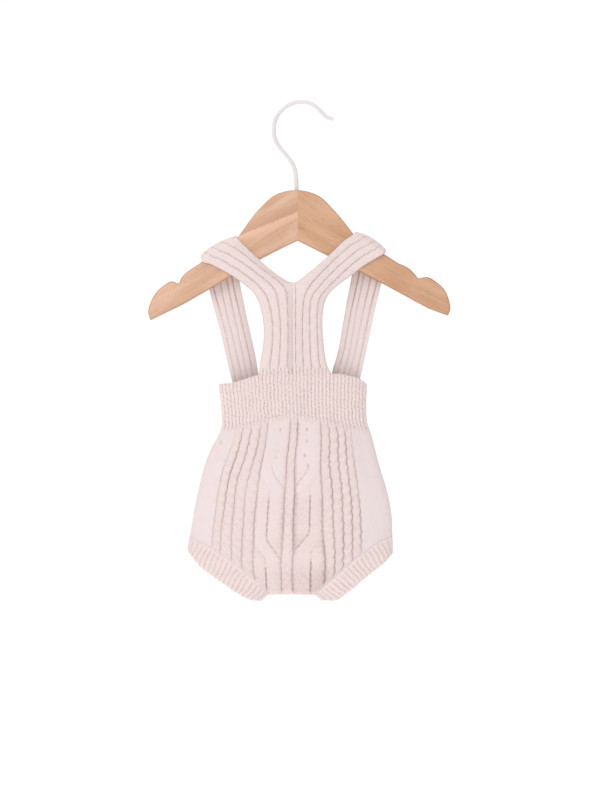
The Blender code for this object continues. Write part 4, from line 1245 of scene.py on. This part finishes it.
def build_arm(name, node, side, material):
    """One arm: the outline made solid, its edges rounded, cut at the middle and drilled."""
    outline = [point for steps, *points in HANGER_RUNS for point in smooth_run(points, steps)]
    bm = bmesh.new()
    bmesh.ops.create_circle(bm, cap_ends=True, radius=1.0, segments=len(outline))
    bm.verts.ensure_lookup_table()
    for vert, (x, z) in zip(bm.verts, outline):
        vert.co = (x * MM, -WOOD / 2 * MM, z * MM)
    made = bmesh.ops.extrude_face_region(bm, geom=bm.faces[:])["geom"]
    far = [v for v in made if isinstance(v, bmesh.types.BMVert)]
    bmesh.ops.translate(bm, verts=far, vec=(0, WOOD * MM, 0))
    bmesh.ops.recalc_face_normals(bm, faces=bm.faces)
    rims = [e for e in bm.edges if abs(e.verts[0].co.y - e.verts[1].co.y) < 1e-6]
    bmesh.ops.bevel(
        bm, geom=rims, offset=ARM_EDGE * MM, segments=5, profile=0.5, affect="EDGES",
        material=-1)
    plane = (JOINT_X + side * STITCHED / 2) * MM
    cut = bmesh.ops.bisect_plane(
        bm, geom=bm.verts[:] + bm.edges[:] + bm.faces[:], plane_co=(plane, 0, 0),
        plane_no=(-side, 0, 0), clear_outer=True)
    edges = [e for e in cut["geom_cut"] if isinstance(e, bmesh.types.BMEdge)]
    bmesh.ops.contextual_create(bm, geom=edges)
    bmesh.ops.recalc_face_normals(bm, faces=bm.faces)
    arm = piece_from(bm, name, material)
    drill_seat(arm)
    arm.data.shade_smooth()
    arm.data.set_sharp_from_angle(angle=SHARP)
    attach(arm, "root")
    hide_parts(node)
    print(name, len(arm.data.polygons), "faces")
    return arm


def drill_seat(arm):
    """Takes the hook's hole out of an arm and keeps the result as the arm's mesh."""
    bm = bmesh.new()
    radius = (WIRE / 2 + HOOK_PLAY) * MM
    bmesh.ops.create_cone(
        bm, cap_ends=True, segments=32, radius1=radius, radius2=radius,
        depth=2 * HOOK_SEAT * MM)
    foot = HOOK_FOOT[1] - HOOK_PLAY + HOOK_SEAT
    bmesh.ops.translate(bm, verts=bm.verts, vec=(HOOK_FOOT[0] * MM, 0, foot * MM))
    drill = piece_from(bm, "drill", arm.data.materials[0])
    hole = arm.modifiers.new("hook hole", "BOOLEAN")
    hole.operation = "DIFFERENCE"
    hole.solver = "EXACT"
    hole.object = drill
    seen = arm.evaluated_get(bpy.context.evaluated_depsgraph_get())
    arm.modifiers.clear()
    arm.data = bpy.data.meshes.new_from_object(seen)
    bpy.data.objects.remove(drill)


print("the hanger's outline has", sum(run[0] + 1 for run in HANGER_RUNS), "points")


# %% [markdown]
# ## Beech
# Beech is a pale reddish wood with long soft bands and many short dark flecks. Noise that
# is stretched along the arm makes the bands, a finer and shorter one makes the flecks, and
# a Mapping node turns both to the slope of the arm.


# %% The wood of each arm
def beech_material(name, slope, light, dark, centre, streak=None):
    """Beech with its grain along a slope. streak is the line of a darker band, if any."""
    material, tree, shader = new_material(name, Roughness=0.5, Specular_IOR_Level=0.35)
    where = add_node(tree, "TexCoord")
    place = where.outputs["Object"]

    def grain(sizes, detail, rough):
        """Noise stretched along the arm: sizes along it, through it and up it, in mm."""
        mapping = add_node(
            tree, "Mapping", {"vector_type": "TEXTURE"}, Vector=place, Location=centre,
            Rotation=(0, math.radians(-slope), 0), Scale=[size * MM for size in sizes])
        return noise(tree, mapping.outputs["Vector"], 1.0, detail, rough)

    bands = grain((120, 20, 12), 4.0, 0.6)
    drift = grain((60, 40, 30), 2.0, 0.5)
    lines = grain((30, 5, 1.5), 3.0, 0.65)
    flecks = grain((5.5, 1.4, 0.8), 1.0, 0.5)
    tone = maths(tree, "MULTIPLY_ADD", bands, 0.9, maths(tree, "MULTIPLY", drift, 0.5))
    tone = maths(tree, "MULTIPLY_ADD", lines, 0.45, tone)
    wood = colour_between(tree, between(tree, tone, 0.68, 1.18, 0.0, 1.0), dark, light)
    deep = tinted(dark, 0.82, 0.7, 0.6)
    if streak:
        (x0, z0), (x1, z1) = streak
        length = math.hypot(x1 - x0, z1 - z0)
        split = add_node(tree, "SeparateXYZ", Vector=place)
        off = maths(tree, "MULTIPLY", split.outputs["X"], -(z1 - z0) / length / MM)
        off = maths(tree, "MULTIPLY_ADD", split.outputs["Z"], (x1 - x0) / length / MM, off)
        off = maths(tree, "ADD", off, (x0 * (z1 - z0) - z0 * (x1 - x0)) / length)
        ragged = grain((16, 8, 5), 4.0, 0.75)
        off = maths(tree, "MULTIPLY_ADD", ragged, 7.0, maths(tree, "ADD", off, -3.5))
        above = between(tree, off, -0.6, 0.8, 0.0, 1.0)
        fades = between(tree, off, 2.0, 15.0, 1.0, 0.15)
        share = maths(tree, "MULTIPLY", maths(tree, "MULTIPLY", above, fades), 0.55)
        wood = colour_between(tree, share, wood, deep)
        below = between(tree, off, -1.5, 0.0, 1.0, 0.0)
        pale = maths(tree, "MULTIPLY", between(tree, off, -9.0, -2.0, 0.0, 0.5), below)
        wood = colour_between(tree, pale, wood, tinted(light, 1.12, 1.12, 1.12))
    spots = between(tree, flecks, 0.27, 0.36, 0.4, 0.0)
    wood = colour_between(tree, spots, wood, tinted(deep, 0.8, 0.8, 0.8))
    # painted shade on the rounded edges: the more an edge turns away from the flat faces, the darker it
    # is
    facing = add_node(tree, "SeparateXYZ", Vector=where.outputs["Normal"])
    side = maths(tree, "ABSOLUTE", facing.outputs["Y"])
    wood = colour_between(tree, between(tree, side, 0.55, 0.99, 0.62, 0.0), wood, deep)
    finish_shader(tree, shader, wood, lines, 0.35, 0.12)
    return material


beech_left = beech_material(
    "beech_left", 31.0, linear(224, 185, 160), linear(202, 159, 130), (0.31, 0.2, 0.7),
    streak=((-62.0, -133.0), (-3.0, -108.5)))
beech_right = beech_material(
    "beech_right", -29.0, linear(214, 172, 142), linear(193, 146, 112), (0.9, 0.5, 0.2))
arm_left = build_arm("beech_arm_left", "hanger_arm_left", -1, beech_left)
arm_right = build_arm("beech_arm_right", "hanger_arm_right", 1, beech_right)

# %% [markdown]
# ## The wire hook
# A steel wire with a white coat rises from the joint, swings to the left and turns over in
# a round crown. A curve with a round section bends exactly as wire does.

# %% The hook
HOOK_LINE = (  # x, height
    HOOK_FOOT, (-3.5, -90), (-3.6, -78), (-4.2, -70), (-6.2, -62.5), (-9.6, -56.5),
    (-14.4, -50.5), (-19.4, -44.5), (-23.4, -38.5), (-25.6, -32.5), (-26.2, -26.5),
    (-25.7, -20), (-23.6, -13.5), (-19.4, -7.4), (-13.2, -2.3), (-6, 0.9),
    (1.2, WIRE / 2), (8.6, 1.1), (15.4, -2.5), (20.8, -7.6), (25, -11.9), (29.4, -14.3),
    (33.4, -14.9),
)


def white_coat():
    material, tree, shader = new_material("white_coated_wire", Roughness=0.32, Coat_Weight=0.3)
    place = add_node(tree, "TexCoord").outputs["Object"]
    mottle = noise(tree, place, 60.0)
    coat = colour_between(tree, mottle, linear(212, 207, 206), linear(233, 229, 228))
    finish_shader(tree, shader, coat, noise(tree, place, 300.0), 0.1, 0.03)
    return material


WIRE_STEPS = 150
WIRE_STEP = 1.5  # mm, about, from one point to the next
TIP = 2.0  # radius of the rounded tip


def build_hook():
    runs = [(k, x, z) for k, (x, z) in enumerate(HOOK_LINE)]
    line = smooth_through(runs, np.linspace(0, len(runs) - 1, WIRE_STEPS))
    curve = bpy.data.curves.new("wire_hook", "CURVE")
    curve.dimensions = "3D"
    curve.bevel_depth = WIRE / 2 * MM
    curve.bevel_resolution = 6
    curve.use_fill_caps = True
    spline = curve.splines.new("POLY")
    last = len(line) - 1
    spline.points.add(last)
    for k, (point, (x, z)) in enumerate(zip(spline.points, line)):
        point.co = (x * MM, 0, z * MM, 1)
        point.radius = float(rounded_edge(np.array((last - k) * WIRE_STEP + 0.25), TIP))
    spline.use_smooth = True
    hook = bpy.data.objects.new("wire_hook", curve)
    curve.materials.append(white_coat())
    bpy.context.scene.collection.objects.link(hook)
    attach(hook, "root")
    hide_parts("hook")
    print("the wire is", round(float(run_along(line)[-1])), "mm long")
    return hook


hook = build_hook()

# %% [markdown]

# %% [markdown]
# ## Floor, light and camera
# The shorts hang well above a plain pale floor in soft, even light, with a large light on
# the upper left for a little shape. The camera looks straight at them from two metres away
# with a long lens.

# %% The floor
FLOOR_RADIUS = 3.5  # metres
FLOOR_HEIGHT = -1.1
pale_floor, *_ = new_material(
    "pale_floor", Base_Color=(0.96, 0.96, 0.96, 1.0), Emission_Color=(1.0, 1.0, 1.0, 1.0),
    Emission_Strength=0.42, Roughness=0.9, Specular_IOR_Level=0.0)
bm = bmesh.new()
bmesh.ops.create_circle(bm, cap_ends=True, radius=FLOOR_RADIUS, segments=96)
bmesh.ops.translate(bm, verts=bm.verts, vec=(0, 0, FLOOR_HEIGHT))
floor = piece_from(bm, "floor", pale_floor)
print("the floor is", 2 * FLOOR_RADIUS, "m across")

# %% The light
scene = bpy.context.scene
scene.view_settings.view_transform = "Standard"
world = bpy.data.worlds.new("soft_studio")
scene.world = world
world.use_nodes = True
sky = world.node_tree
even = sky.nodes["Background"]
even.inputs["Color"].default_value = (1.0, 1.0, 1.0, 1.0)
even.inputs["Strength"].default_value = 0.69
white = add_node(sky, "Background", Color=(1.0, 1.0, 1.0, 1.0), Strength=1.05)
seen = add_node(sky, "LightPath").outputs["Is Camera Ray"]
either = add_node(sky, "MixShader", Fac=seen)
sky.links.new(even.outputs["Background"], either.inputs[1])
sky.links.new(white.outputs["Background"], either.inputs[2])
sky.links.new(either.outputs["Shader"], sky.nodes["World Output"].inputs["Surface"])


def soft_light(name, place, aim, size, power, colour):
    """A large square light that looks at a point."""
    light = bpy.data.lights.new(name, "AREA")
    light.size = size
    light.energy = power
    light.color = colour
    lamp = bpy.data.objects.new(name, light)
    scene.collection.objects.link(lamp)
    lamp.location = place
    away = [a - p for a, p in zip(aim, place)]
    lamp.rotation_euler = Vector(away).to_track_quat("-Z", "Y").to_euler()
    return lamp


soft_light("key", (-0.9, -1.5, 0.9), (0, 0, -0.3), 1.2, 13.0, (1.0, 0.985, 0.965))
soft_light("over", (0.1, -0.3, 1.4), (0, 0, -0.3), 1.0, 4.0, (1.0, 1.0, 1.0))

# %% The camera
LENS = 85.0  # mm
PICTURE_HEIGHT = 0.8  # metres that the picture shows from top to bottom
EYE_HEIGHT = -0.296  # metres
lens = bpy.data.cameras.new("camera")
lens.lens = LENS
lens.clip_end = 50.0
camera = bpy.data.objects.new("camera", lens)
scene.collection.objects.link(camera)
distance = PICTURE_HEIGHT * LENS / lens.sensor_width
camera.location = (0.0, -distance, EYE_HEIGHT)
camera.rotation_euler = (math.pi / 2, 0, 0)
scene.camera = camera
print("the camera stands", round(distance, 3), "m away")
